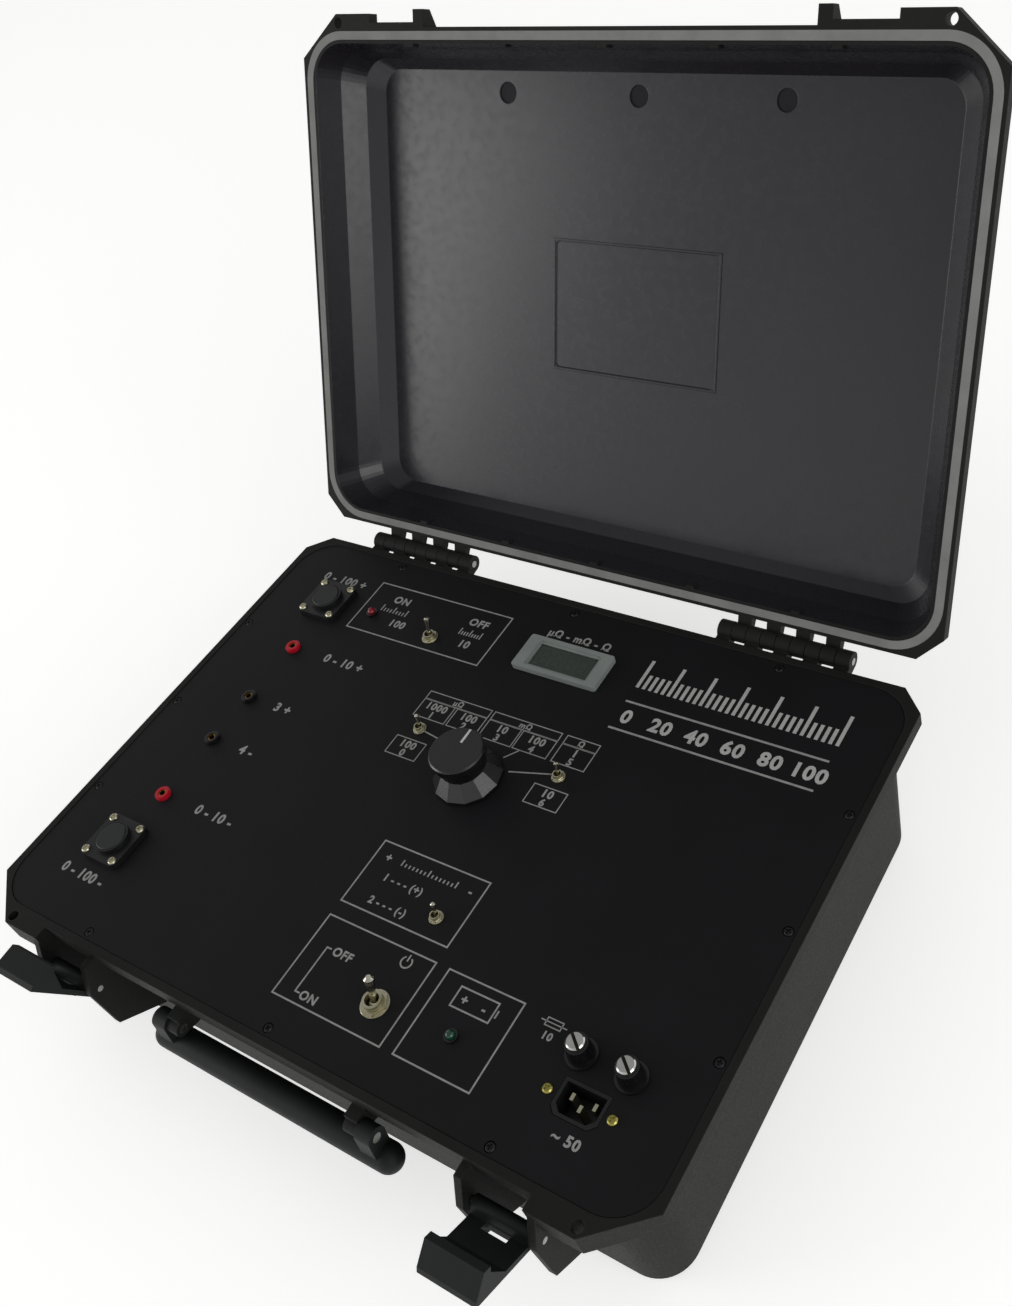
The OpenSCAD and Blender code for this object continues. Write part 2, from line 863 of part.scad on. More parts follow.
module jack_contacts() color("#c9c6b4") {
    for (y = concat(red_jack_ys, black_jack_ys))
        translate([jack_x, y, panel_under - jack_body_l - stud_l])
            difference() {
                cylinder(h = jack_body_l + stud_l + panel_t + jack_flange_h - jack_wall,
                    r = jack_bore_r + jack_wall);
                translate([0, 0, stud_l])
                    cylinder(h = jack_body_l + stud_l + panel_t + jack_flange_h, r = jack_bore_r);
            }
}

module jack_nuts() color("#c9c6b4") {
    for (y = concat(red_jack_ys, black_jack_ys))
        translate([jack_x, y, panel_under - nut_t])
            difference() {
                hex(jack_nut_r, nut_t);
                translate([0, 0, -over])
                    cylinder(h = nut_t + 2 * over, r = jack_neck_r + run_gap);
            }
}

module range_switch_body() color("#d8d2bd") {
    translate([knob_x, knob_y, 0])
        difference() {
            union() {
                translate([0, 0, panel_under - switch_body_h])
                    cylinder(h = switch_body_h, r = switch_body_r);
                translate([0, 0, panel_under - over])
                    cylinder(h = panel_t + bush_top + over, r = bush_r);
            }
            translate([0, 0, panel_under - shaft_in])
                cylinder(h = shaft_in + panel_t + bush_top + over, r = shaft_r + run_gap);
        }
}

module range_switch_nut() color("#c9c6b4") {
    translate([knob_x, knob_y, panel_top])
        difference() {
            hex(switch_nut_r, nut_t);
            translate([0, 0, -over])
                cylinder(h = nut_t + 2 * over, r = bush_r + run_gap);
        }
}

module range_switch_shaft() color("#c9c6b4") {
    translate([knob_x, knob_y, panel_under - shaft_in + fit_gap])
        cylinder(h = shaft_in - fit_gap + panel_t + knob_lift + knob_h - shaft_top, r = shaft_r);
}

// Knob with a skirt of twelve sloping flats, a waist and a fluted crown
module range_knob() color("#141416") {
    translate([knob_x, knob_y, panel_top + knob_lift])
        difference() {
            union() {
                cylinder(h = skirt_h, r = skirt_r, $fn = knob_flats);
                translate([0, 0, skirt_h])
                    cylinder(h = flare_h - skirt_h, r1 = skirt_r, r2 = waist_r, $fn = knob_flats);
                cylinder(h = flare_h, r = waist_in_r);
                translate([0, 0, flare_h])
                    cylinder(h = crown_low - flare_h, r1 = waist_in_r, r2 = crown_r);
                translate([0, 0, crown_low])
                    cylinder(h = knob_h - crown_low - crown_cut, r = crown_r);
                translate([0, 0, knob_h - crown_cut])
                    cylinder(h = crown_cut, r1 = crown_r, r2 = crown_r - crown_cut);
            }
            for (i = [0 : knob_flats - 1])
                rotate([0, 0, i * 360 / knob_flats])
                    translate([crown_r + flute_out, 0, flare_h])
                        cylinder(h = knob_h - flare_h - 2 * crown_cut, r = flute_r);
            translate([0, 0, -over])
                cylinder(h = knob_h - shaft_top + over, r = shaft_r + run_gap);
            translate([0, 0, -over])
                cylinder(h = bush_top + nut_t + over - knob_lift, r = switch_nut_r + fit_gap);
        }
}

module knob_pointer() color("#e8e8e4") {
    translate([knob_x - pointer_w / 2, knob_y + pointer_in, panel_top + knob_lift + knob_h])
        cube([pointer_w, pointer_l, pointer_proud]);
}

// Toggle switch body with its bushing; the lever swings inside the bushing
module toggle_body(x, y, bush, box, rise) {
    ball = bush * toggle_ball;
    translate([x, y, 0])
        difference() {
            union() {
                translate([-box[0] / 2, -box[1] / 2, panel_under - box[2]])
                    cube(box);
                translate([0, 0, panel_under - over])
                    cylinder(h = panel_t + rise + over, r = bush);
            }
            translate([0, 0, panel_top - ball])
                cylinder(h = ball + rise + over, r = ball + fit_gap);
        }
}

// Washer and hexagon nut of a toggle switch
module toggle_nut(x, y, bush) {
    translate([x, y, panel_top])
        difference() {
            union() {
                cylinder(h = nut_t / 3, r = bush * toggle_washer);
                hex(bush * toggle_hex, nut_t);
            }
            translate([0, 0, -over])
                cylinder(h = nut_t + 2 * over, r = bush + run_gap);
        }
}

// Bat-shaped lever that leans to the back; its ball turns at the panel's face
module toggle_lever(x, y, bush, length, lean) {
    neck = bush * toggle_neck;
    tip = bush * toggle_tip;
    flare = length * toggle_flare;
    top = length - tip / 2;
    translate([x, y, panel_top])
        rotate([-lean, 0, 0]) {
            sphere(r = bush * toggle_ball - fit_gap);
            cylinder(h = flare, r = neck);
            translate([0, 0, flare])
                cylinder(h = top - tip - flare, r1 = neck, r2 = tip);
            translate([0, 0, top - tip])
                cylinder(h = tip, r = tip);
            translate([0, 0, top])
                cylinder(h = tip / 2, r1 = tip, r2 = tip / 2);
        }
}

module power_switch_body() color("#2a2420") {
    toggle_body(power_x, power_y, power_bush_r, power_box, power_rise);
}

module power_switch_nut() color("#cfcdbb") {
    toggle_nut(power_x, power_y, power_bush_r);
}

module power_switch_lever() color("#d8d6c6") {
    toggle_lever(power_x, power_y, power_bush_r, power_lever_l, power_lean);
}

module current_switch_body() color("#7a2020") {
    toggle_body(current_switch_x, current_switch_y, current_bush_r, current_box, current_rise);
}

module current_switch_nut() color("#cfcdbb") {
    toggle_nut(current_switch_x, current_switch_y, current_bush_r);
}

module current_switch_lever() color("#d8d6c6") {
    toggle_lever(current_switch_x, current_switch_y, current_bush_r, current_lever_l, current_lean);
}

module small_switch_bodies() color("#1d3f7a") {
    for (p = small_switch_places)
        toggle_body(p[0], p[1], small_bush_r, small_box, small_rise);
}

module small_switch_nuts() color("#cfcdbb") {
    for (p = small_switch_places)
        toggle_nut(p[0], p[1], small_bush_r);
}

module small_lever(i) {
    toggle_lever(small_switch_places[i][0], small_switch_places[i][1], small_bush_r, small_lever_l, small_lean);
}

module left_range_lever() color("#d8d6c6") {
    small_lever(0);
}

module right_range_lever() color("#d8d6c6") {
    small_lever(1);
}

module polarity_lever() color("#d8d6c6") {
    small_lever(2);
}

// Domed lamp with its stem below the panel
module led(x, y) {
    translate([x, y, panel_top]) {
        translate([0, 0, -panel_t - led_leg_l])
            cylinder(h = panel_t + led_leg_l + led_h - led_r, r = led_r);
        translate([0, 0, led_h - led_r])
            intersection() {
                sphere(r = led_r);
                translate([-led_r, -led_r, 0])
                    cube([2 * led_r, 2 * led_r, led_r]);
            }
    }
}

module red_led() color("#8a1020") {
    led(red_led_x, red_led_y);
}

module green_led() color("#10523c") {
    led(green_led_x, green_led_y);
}

module led_holders() color("#141416") {
    for (p = [[red_led_x, red_led_y], [green_led_x, green_led_y]])
        translate([p[0], p[1], panel_top])
            difference() {
                union() {
                    cylinder(h = led_holder_h, r = led_holder_r);
                    translate([0, 0, -panel_t - led_holder_h])
                        cylinder(h = panel_t + led_holder_h + over, r = led_holder_r - 3 * fit_gap);
                }
                translate([0, 0, -panel_t - led_holder_h - over])
                    cylinder(h = panel_t + 2 * led_holder_h + 2 * over, r = led_r + run_gap);
            }
}

module fuse_holders() color("#141416") {
    for (s = [-1, 1])
        translate([fuse_x + s * fuse_pitch / 2, fuse_y, panel_top])
            difference() {
                union() {
                    cylinder(h = fuse_ring_h, r = fuse_ring_r);
                    translate([0, 0, fuse_ring_h])
                        cylinder(h = fuse_holder_h - fuse_ring_h, r1 = fuse_neck_r, r2 = fuse_top_r);
                    translate([0, 0, -panel_t - fuse_body_l])
                        cylinder(h = panel_t + fuse_body_l + over, r = fuse_body_r);
                }
                translate([0, 0, -fuse_link_l])
                    cylinder(h = fuse_link_l + fuse_holder_h + over, r = fuse_socket_r + run_gap);
            }
}

// Slotted metal cap with its plug that reaches into the holder
module fuse_cap(s) {
    edge = fuse_cap_h / 4;
    translate([fuse_x + s * fuse_pitch / 2, fuse_y, panel_top + fuse_holder_h + run_gap])
        difference() {
            union() {
                cylinder(h = fuse_cap_h - edge, r = fuse_cap_r);
                translate([0, 0, fuse_cap_h - edge])
                    cylinder(h = edge, r1 = fuse_cap_r, r2 = fuse_cap_r - edge);
                translate([0, 0, -fuse_plug_l])
                    cylinder(h = fuse_plug_l + edge, r = fuse_socket_r);
            }
            rotate([0, 0, -fuse_slot_turn])
                translate([-fuse_cap_r - over, -fuse_slot_w / 2, fuse_cap_h - fuse_slot_d])
                    cube([2 * fuse_cap_r + 2 * over, fuse_slot_w, fuse_slot_d + over]);
        }
}

module fuse_cap_left() color("#d6d6d0") {
    fuse_cap(-1);
}

module fuse_cap_right() color("#d6d6d0") {
    fuse_cap(1);
}

module fuse_links() color("#d0d4d4") {
    low = -fuse_link_l + fit_gap;
    high = fuse_holder_h - fuse_plug_l - fit_gap;
    for (s = [-1, 1])
        translate([fuse_x + s * fuse_pitch / 2, fuse_y, panel_top + low])
            cylinder(h = high - low, r = fuse_link_r);
}

// Outline of the inlet's shroud with its two cut corners, grown by g
module inlet_outline(g) {
    w = inlet_w / 2 + g;
    d = inlet_d / 2 + g;
    c = inlet_cut;
    polygon([[-w + c, -d], [w - c, -d], [w, -d + c], [w, d], [-w, d], [-w, -d + c]]);
}

module inlet_body() color("#111113") {
    translate([inlet_x, inlet_y, 0])
        difference() {
            union() {
                translate([0, 0, panel_under - inlet_depth - inlet_wall])
                    linear_extrude(inlet_depth + inlet_wall + panel_t)
                        inlet_outline(inlet_wall);
                translate([0, 0, panel_under - inlet_flange_t])
                    linear_extrude(inlet_flange_t)
                        rounded(inlet_pitch + 4 * screw_head_r, inlet_d + 3 * inlet_wall, inlet_flange_t);
            }
            translate([0, 0, panel_top - inlet_depth])
                linear_extrude(inlet_depth + over)
                    inlet_outline(0);
            for (s = [-1, 1])
                translate([s * inlet_pitch / 2, 0, panel_under - inlet_flange_t - over])
                    cylinder(h = inlet_flange_t + 2 * over, r = screw_r + fit_gap);
        }
}

module inlet_pins() color("#d4d2c8") {
    floor_z = panel_top - inlet_depth;
    for (p = [[-pin_pitch / 2, 0], [0, -earth_step], [pin_pitch / 2, 0]])
        translate([inlet_x + p[0] - pin_t / 2, inlet_y + p[1] + pin_shift - pin_w / 2, floor_z])
            cube([pin_t, pin_w, pin_l]);
}

module inlet_screws() color("#b9b26a") {
    for (s = [-1, 1])
        panel_screw(inlet_x + s * inlet_pitch / 2, inlet_y, panel_top, inlet_flange_t + small_screw_l);
}

// Slices of the lid: share of the depth and share of the lean
lid_shares = [[0, 0], [0.45, 0.2], [0.82, 0.55], [1, 1]];
floor_round = 9.5;
mouth_edge = 2.3;
gasket_r = 34;
gasket_in = 2.5;
gasket_t = 2.6;
gasket_proud = 0.1;
mouth_in = gasket_in + gasket_w + mouth_edge;
lid_mouth_w = rim_w - 2 * mouth_in;
lid_mouth_d = rim_d - 2 * mouth_in;
lid_mouth_r = gasket_r - gasket_w - mouth_edge;
dimple_r = 7;
dimple_pitch = 106;
shallow = 0.8;
tab_pitch = 78;
tab_w = 6;
tab_h = 7;
tab_out = 2;

// Pan of the lid, grown by the wall w
module lid_pan(w) {
    hull() {
        for (p = lid_shares)
            slice(lid_mouth_w - 2 * lid_lean * p[1] + 2 * w, lid_mouth_d - 2 * lid_lean_front * p[1] + 2 * w,
                lid_mouth_r - floor_round * p[1] + w, lid_z + (lid_depth + w) * p[0]);
    }
}

// Small tabs along the front and back of the lid's mouth
module lid_tabs() {
    for (i = [-2 : 2], s = [-1, 1])
        translate([i * tab_pitch - tab_w / 2, s * lid_mouth_d / 2 - tab_out, lid_z])
            cube([tab_w, 2 * tab_out, tab_h]);
}

// Rib of the lid beside a latch, above the guard rib of the base
module lid_guard(x) {
    y = front_y - lid_guard_out;
    along_x(x, lid_guard_w)
        polygon([[front_y + rim_out, lid_z], [y, lid_z], [y, lid_z + lid_guard_h / 2],
            [front_y, lid_z + lid_guard_h], [front_y + rim_out, lid_z + lid_guard_h]]);
}

// Lip that a latch's hook grips
module strike(x) {
    w = latch_w + 4 * lug_gap;
    translate([x - w / 2, front_y - strike_out, lid_z])
        cube([w, strike_out + over, strike_t]);
}

// The lid as it stands closed
module lid_closed() {
    difference() {
        union() {
            lid_pan(wall);
            translate([0, 0, lid_z])
                linear_extrude(lid_rim_h)
                    rim_outline();
            for (s = [-1, 1]) {
                lid_guard(s * lid_guard_x);
                strike(s * latch_x);
            }
            for (x = knuckle_xs(1))
                knuckle(x, lid_web);
        }
        difference() {
            lid_pan(0);
            lid_tabs();
        }
        translate([0, 0, lid_z - over])
            linear_extrude(gasket_t + over)
                gasket_outline(fit_gap / 2);
        translate([0, 0, lid_z + lid_depth - over])
            linear_extrude(over + shallow)
                rounded(label_w, label_h, wall);
        for (i = [-1, 0, 1])
            translate([i * dimple_pitch, -lid_mouth_d / 2 + lid_lean_front + 2 * dimple_r, lid_z + lid_depth - over])
                cylinder(h = over + shallow, r = dimple_r);
        for (s = [-1, 1]) {
            translate([s * padlock_x, front_y - lug_out / 3, lid_z - over])
                cylinder(h = lid_rim_h + 2 * over, r = padlock_r);
            bar_x(s * hinge_x, hinge_l + 2 * over, hinge_y, hinge_z, hinge_pin_r + run_gap);
        }
    }
}

module lid_shell() color("#2b2a2e") {
    opened()
        lid_closed();
}

// Ring of the sealing strip, grown by g on both sides
module gasket_outline(g) {
    w = rim_w - 2 * gasket_in;
    d = rim_d - 2 * gasket_in;
    difference() {
        rounded(w + 2 * g, d + 2 * g, gasket_r + g);
        rounded(w - 2 * gasket_w - 2 * g, d - 2 * gasket_w - 2 * g, gasket_r - gasket_w - g);
    }
}

module lid_gasket() color("#8e908f") {
    opened()
        translate([0, 0, lid_z - gasket_proud])
            linear_extrude(gasket_t + gasket_proud - fit_gap / 2)
                gasket_outline(0);
}

module hinge_pins() color("#9a9a96") {
    for (s = [-1, 1])
        bar_x(s * hinge_x, hinge_l, hinge_y, hinge_z, hinge_pin_r);
}

// Latch as it stands closed: barrel, plate, gusset and hook, with the pivot at the origin
module latch_closed() {
    out = -latch_offset - latch_t;
    difference() {
        union() {
            bar_x(0, latch_w, 0, 0, latch_barrel_r);
            along_x(0, latch_w)
                polygon([[out, -latch_t / 2], [-latch_offset, -latch_barrel_r], [0, -latch_barrel_r],
                    [0, latch_barrel_r], [-latch_offset, latch_barrel_r], [-latch_offset, gusset_z],
                    [gusset_y, hook_z], [hook_y, hook_z], [hook_y, hook_z + hook_t],
                    [-latch_offset, latch_top], [out, latch_top]]);
        }
        bar_x(0, latch_w + 2 * over, 0, 0, latch_pin_r + run_gap);
        translate([-latch_slot_w / 2, out - over, latch_slot_z])
            cube([latch_slot_w, latch_t + 2 * over, latch_slot_h]);
    }
}

module latch(s, open) {
    translate([s * latch_x, latch_pivot_y, latch_pivot_z])
        rotate([open, 0, 0])
            latch_closed();
}

module latch_left() color("#222326") {
    latch(-1, left_latch_open);
}

module latch_right() color("#222326") {
    latch(1, right_latch_open);
}

module latch_pins() color("#9a9a96") {
    for (s = [-1, 1])
        bar_x(s * latch_x, guard_x2 - guard_x + guard_t, latch_pivot_y, latch_pivot_z, latch_pin_r);
}

module handle() color("#2a2b2e") {
    grip_z = handle_pivot_z - handle_drop + grip_r;
    grip_y = handle_pivot_y - grip_out;
    difference() {
        union() {
            bar_x(0, handle_w - grip_t, grip_y, grip_z, grip_r);
            for (s = [-1, 1]) {
                translate([s * (handle_w / 2 - grip_r), grip_y, grip_z])
                    sphere(r = grip_r);
                bar_x(s * leg_x, leg_w, handle_pivot_y, handle_pivot_z, leg_r);
                along_x(s * leg_x, leg_w)
                    polygon([[handle_pivot_y - leg_r, handle_pivot_z], [handle_pivot_y + leg_r, handle_pivot_z],
                        [grip_y + leg_r, grip_z], [grip_y - leg_r, grip_z]]);
            }
        }
        for (s = [-1, 1])
            bar_x(s * leg_x, leg_w + 2 * over, handle_pivot_y, handle_pivot_z, handle_pin_r + run_gap);
    }
}

module handle_pins() color("#9a9a96") {
    pin_len = leg_w + ear_w + fit_gap;
    for (s = [-1, 1])
        bar_x(s * (ear_x + leg_w / 2 + fit_gap / 2), pin_len, handle_pivot_y, handle_pivot_z, handle_pin_r);
}

// Sealed battery with two flat terminals
module battery(x) {
    top = wall + battery_h;
    translate([x - battery_w / 2, battery_y - battery_l / 2, wall])
        cube([battery_w, battery_l, battery_h]);
    for (s = [-1, 1])
        translate([x + s * battery_w / 4 - terminal_w / 2, battery_y + battery_l / 2 - 2 * terminal_w, top - slice_t])
            cube([terminal_w, over, terminal_w]);
}

module batteries() color("#3a3d42") {
    for (s = [-1, 1])
        battery(battery_x + s * (battery_w + battery_gap) / 2);
}

module battery_bracket() color("#a8aaa8") {
    w = 2 * battery_w + battery_gap;
    difference() {
        translate([battery_x - w / 2 - strap_t, battery_y - strap_w / 2, wall])
            cube([w + 2 * strap_t, strap_w, battery_h + strap_t]);
        translate([battery_x - w / 2, battery_y - strap_w / 2 - over, wall - over])
            cube([w, strap_w + 2 * over, battery_h + over]);
    }
    for (s = [-1, 1])
        translate([battery_x + s * (w / 2 + strap_t + strap_w / 2 - slice_t) - strap_w / 2,
            battery_y - strap_w / 2, wall])
            cube([strap_w, strap_w, strap_t]);
}

module transformer_core() color("#55585c") {
    translate([transformer_x, transformer_y, wall])
        difference() {
            translate([-core_w / 2, -core_d / 4, 0])
                cube([core_w, core_d / 2, core_h]);
            for (s = [-1, 1])
                translate([s * core_w / 3 - limb / 2, -core_d / 4 - over, limb])
                    cube([limb, core_d / 2 + 2 * over, core_h - 2 * limb]);
        }
}

module transformer_coil() color("#b98a3a") {
    inner = core_w - 3 * limb + 2 * run_gap;
    outer = core_w - limb - 2 * run_gap;
    translate([transformer_x, transformer_y, wall + limb + run_gap])
        difference() {
            translate([-outer / 2, -core_d / 2, 0])
                cube([outer, core_d, core_h - 2 * limb - 2 * run_gap]);
            translate([-inner / 2, -core_d / 4 - run_gap, -over])
                cube([inner, core_d / 2 + 2 * run_gap, core_h]);
        }
}

module charger_board() color("#1d5a34") {
    z = wall + boss_h;
    translate([charger_x, charger_y, z]) {
        translate([-charger_w / 2, -charger_d / 2, 0])
            cube([charger_w, charger_d, board_t]);
        for (i = [-1, 0, 1])
            translate([i * 3 * cap_r, charger_d / 4, board_t - slice_t])
                cylinder(h = cap_h, r = cap_r);
        for (i = [0 : 3])
            translate([-charger_w / 3 + i * charger_w / 5, -charger_d / 4, board_t - slice_t])
                cube([cap_r, 2 * cap_r, cap_r]);
    }
}

module measuring_board() color("#1d5a34") {
    translate([measuring_x, measuring_y, measuring_z]) {
        translate([-measuring_w / 2, -measuring_d / 2, 0])
            cube([measuring_w, measuring_d, board_t]);
        for (i = [-2 : 2], j = [-1, 1])
            translate([i * 3 * chip - chip / 2, j * 3 * chip - chip, -chip / 2])
                cube([chip, 2 * chip, chip / 2 + slice_t]);
    }
}

module board_standoffs() color("#c9c6b4") {
    for (p = standoff_places())
        translate([p[0], p[1], measuring_z + board_t])
            cylinder(h = panel_under - measuring_z - board_t, r = standoff_r);
}

module current_shunt() color("#b08d4a") {
    translate([shunt_x, shunt_y, wall]) {
        for (s = [-1, 1])
            translate([s * (shunt_span + shunt_block_w) / 2 - shunt_block_w / 2, -shunt_block_l / 2, 0])
                cube([shunt_block_w, shunt_block_l, shunt_block_h]);
        for (i = [0 : rods - 1])
            translate([0, (i - (rods - 1) / 2) * shunt_block_l / rods, shunt_block_h / 2])
                rotate([0, 90, 0])
                    cylinder(h = shunt_span + shunt_block_w / 2, r = rod_r, center = true);
    }
}

module heat_sink() color("#77797c") {
    pitch = (sink_w - fin_t) / (sink_fins - 1);
    translate([sink_x - sink_w / 2, sink_y - sink_d / 2, wall]) {
        cube([sink_w, sink_d, sink_base]);
        for (i = [0 : sink_fins - 1])
            if (abs(i * pitch + fin_t / 2 - sink_w / 2) > transistor_w)
                translate([i * pitch, 0, sink_base - slice_t])
                    cube([fin_t, sink_d, sink_h - sink_base]);
    }
}

module power_transistors() color("#1a1a1c") {
    for (i = [0 : transistors - 1])
        translate([sink_x - transistor_w / 2,
            sink_y + (i - (transistors - 1) / 2) * sink_d / transistors - transistor_l / 2, wall + sink_base])
            cube([transistor_w, transistor_l, transistor_t]);
}

module bus_bars() color("#b5683a") {
    stud_z = panel_under - socket_body_l - stud_l;
    for (i = [0, 1]) {
        x = -socket_x;
        y = socket_ys[i];
        low = i == 0 ? wall + sink_h : wall + shunt_block_h;
        end_y = i == 0 ? sink_y : shunt_y - shunt_block_l / 2 + bar_w;
        translate([x - bar_w / 2, y - bar_w / 2, stud_z - bar_t])
            cube([bar_w, bar_w, bar_t]);
        translate([x - bar_w / 2, y - bar_w / 2, low])
            cube([bar_w, bar_t, stud_z - low]);
        translate([x - bar_w / 2, min(y - bar_w / 2, end_y), low])
            cube([bar_w, abs(end_y - y + bar_w / 2) + bar_t, bar_t]);
    }
}

base_shell();
front_panel();
panel_screws();
meter_bezel();
meter_window();
meter_module();
current_sockets();
socket_contacts();
socket_screws();
socket_cap_front();
socket_cap_back();
red_jacks();
black_jacks();
jack_contacts();
jack_nuts();
range_switch_body();
range_switch_nut();
range_switch_shaft();
range_knob();
knob_pointer();
power_switch_body();
power_switch_nut();
power_switch_lever();
current_switch_body();
current_switch_nut();
current_switch_lever();
small_switch_bodies();
small_switch_nuts();
left_range_lever();
right_range_lever();
polarity_lever();
red_led();
green_led();
led_holders();
fuse_holders();
fuse_cap_left();
fuse_cap_right();
fuse_links();
inlet_body();
inlet_pins();
inlet_screws();
lid_shell();
lid_gasket();
hinge_pins();
latch_left();
latch_right();
latch_pins();
handle();
handle_pins();
batteries();
battery_bracket();
transformer_core();
transformer_coil();
charger_board();
measuring_board();
board_standoffs();
current_shunt();
heat_sink();
power_transistors();
bus_bars();
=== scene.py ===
"""Finishes, printed marks, small details and the stage of a micro ohmmeter in a transit case."""

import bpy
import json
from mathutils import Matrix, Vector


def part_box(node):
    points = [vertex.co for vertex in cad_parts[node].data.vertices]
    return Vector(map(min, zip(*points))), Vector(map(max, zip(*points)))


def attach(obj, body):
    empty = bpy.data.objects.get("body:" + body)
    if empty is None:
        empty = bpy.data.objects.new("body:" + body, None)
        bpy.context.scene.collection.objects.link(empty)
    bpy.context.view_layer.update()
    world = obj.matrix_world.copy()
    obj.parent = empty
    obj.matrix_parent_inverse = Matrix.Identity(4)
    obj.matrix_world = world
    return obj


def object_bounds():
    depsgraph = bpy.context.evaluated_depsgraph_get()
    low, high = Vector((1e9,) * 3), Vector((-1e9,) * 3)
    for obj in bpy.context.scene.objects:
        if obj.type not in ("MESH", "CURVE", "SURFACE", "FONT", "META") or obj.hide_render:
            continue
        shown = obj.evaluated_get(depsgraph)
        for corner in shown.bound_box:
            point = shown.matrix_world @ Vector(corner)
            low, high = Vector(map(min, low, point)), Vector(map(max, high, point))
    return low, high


bl_info = {
    "name": "Micro Ohmmeter Dressing",
    "version": (1, 0, 0),
    "blender": (4, 5, 0),
    "location": "View3D > Sidebar > Ohmmeter",
    "description": "Finishes, printed marks, small details and the stage of a micro ohmmeter",
    "category": "Object",
}

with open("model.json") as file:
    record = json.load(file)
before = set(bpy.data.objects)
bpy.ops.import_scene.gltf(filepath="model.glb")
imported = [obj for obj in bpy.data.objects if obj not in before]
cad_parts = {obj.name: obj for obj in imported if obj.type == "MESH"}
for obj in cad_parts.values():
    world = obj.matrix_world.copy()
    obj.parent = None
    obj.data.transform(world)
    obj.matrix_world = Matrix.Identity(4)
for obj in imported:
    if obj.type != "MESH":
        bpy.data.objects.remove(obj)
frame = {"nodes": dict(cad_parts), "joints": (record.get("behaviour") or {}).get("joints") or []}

import json
import math
import random

import bmesh
import bpy
from bpy.props import FloatProperty, FloatVectorProperty, PointerProperty
from mathutils import Matrix, Vector

MM = 0.001
CAD_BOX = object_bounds()
PANEL_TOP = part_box("front_panel")[1].z / MM
LCD_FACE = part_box("meter_module")[1].z / MM
# Sizes below are in millimetres unless they say otherwise. The lid as it stands closed: half its mouth
# across and deep, its rim's underside, the ceiling over the mouth, and the hinge pins' radius
MOUTH_X = 244.8
MOUTH_Y = 169.8
LID_LOW = 124.4
LID_CEILING = 168.4
HINGE_PIN_R = 2.5
# How far past the rim's underside the lid's smooth lining starts, half the depth of the dimples in its
# ceiling, and the line in front of which they lie
LINING_START = 0.1
DIMPLE_HALF_DEPTH = 0.4
DIMPLE_LINE_Y = -100.0
# How far over the rim's underside the point lies that every face of the lining looks to
LINING_MIDDLE = 10.0
# The bead around the lid's bare label field: its half width and half depth, how wide it is, how far
# it stands out of the ceiling, and its height with the foot inside the ceiling
LABEL_HALF_X = 66.0
LABEL_HALF_Y = 45.0
BEAD_WIDTH = 1.6
BEAD_PROUD = 0.5
BEAD_HEIGHT = 0.6
# The slot of a fuse cap: how far below the cap's top its cut faces start and end, and their reach
# from the cap's axis
SLOT_START = 0.4
SLOT_END = 2.0
SLOT_REACH = 4.9
# The cross recesses of the screws: how long and wide a cross is, how deep it goes in the panel's screws
# and in the smaller ones, and the least distance between two screws of a node
CROSS_LENGTH = 3.4
CROSS_WIDTH = 0.9
PANEL_CROSS_DEPTH = 1.0
SMALL_CROSS_DEPTH = 0.9
SCREW_APART = 7.0
# The display's figures as shares of the window: their height, their width as a share of that, the
# middle of the first one and the step to the next
FIGURE_TALL_SHARE = 0.62
FIGURE_WIDE_SHARE = 0.5
FIGURE_FIRST_SHARE = 0.17
FIGURE_STEP_SHARE = 0.22
# A bar of a figure: the gap at its ends, its width and height, and for the decimal point how far it
# stands beside the figure and half its length
BAR_GAP = 0.7
BAR_WIDTH = 1.0
BAR_HEIGHT = 0.03
POINT_OUT = 1.4
POINT_HALF = 0.5
# How far below the module's top a face still counts as its display, and how far below the panel's
# top the metal frame of a toggle switch reaches
DISPLAY_SLACK = 0.05
SWITCH_FRAME_LOW = 3.1
# The lamps and the floor, in metres: each lamp's width and place, the point that both look at, the
# floor's half width, how far it lies under the case, and the glow that lifts it to white
KEY_WIDTH = 1.4
KEY_PLACE = (-2.56, -1.6, 0.95)
FILL_WIDTH = 1.6
FILL_PLACE = (2.2, -0.5, 1.0)
LAMP_AIM = (0.0, 0.0, 0.15)
FLOOR_HALF = 8.0
FLOOR_DROP = 0.1 * MM
FLOOR_GLOW = 0.56


def linear(code):
    """Linear RGBA of an sRGB colour in hex."""
    parts = [int(code[i:i + 2], 16) / 255 for i in (0, 2, 4)]
    return tuple(c / 12.92 if c <= 0.04045 else ((c + 0.055) / 1.055) ** 2.4 for c in parts) + (1.0,)


def colour_property(name, description, code):
    """A colour that the sidebar shows, with its default in hex."""
    return FloatVectorProperty(name=name, description=description, subtype="COLOR", size=4,
                               min=0.0, max=1.0, default=linear(code))


def length_property(name, description, millimetres, low, high):
    """A length that the sidebar shows, with its default in millimetres."""
    return FloatProperty(name=name, description=description, subtype="DISTANCE", unit="LENGTH",
                         default=millimetres * MM, min=low * MM, max=high * MM)


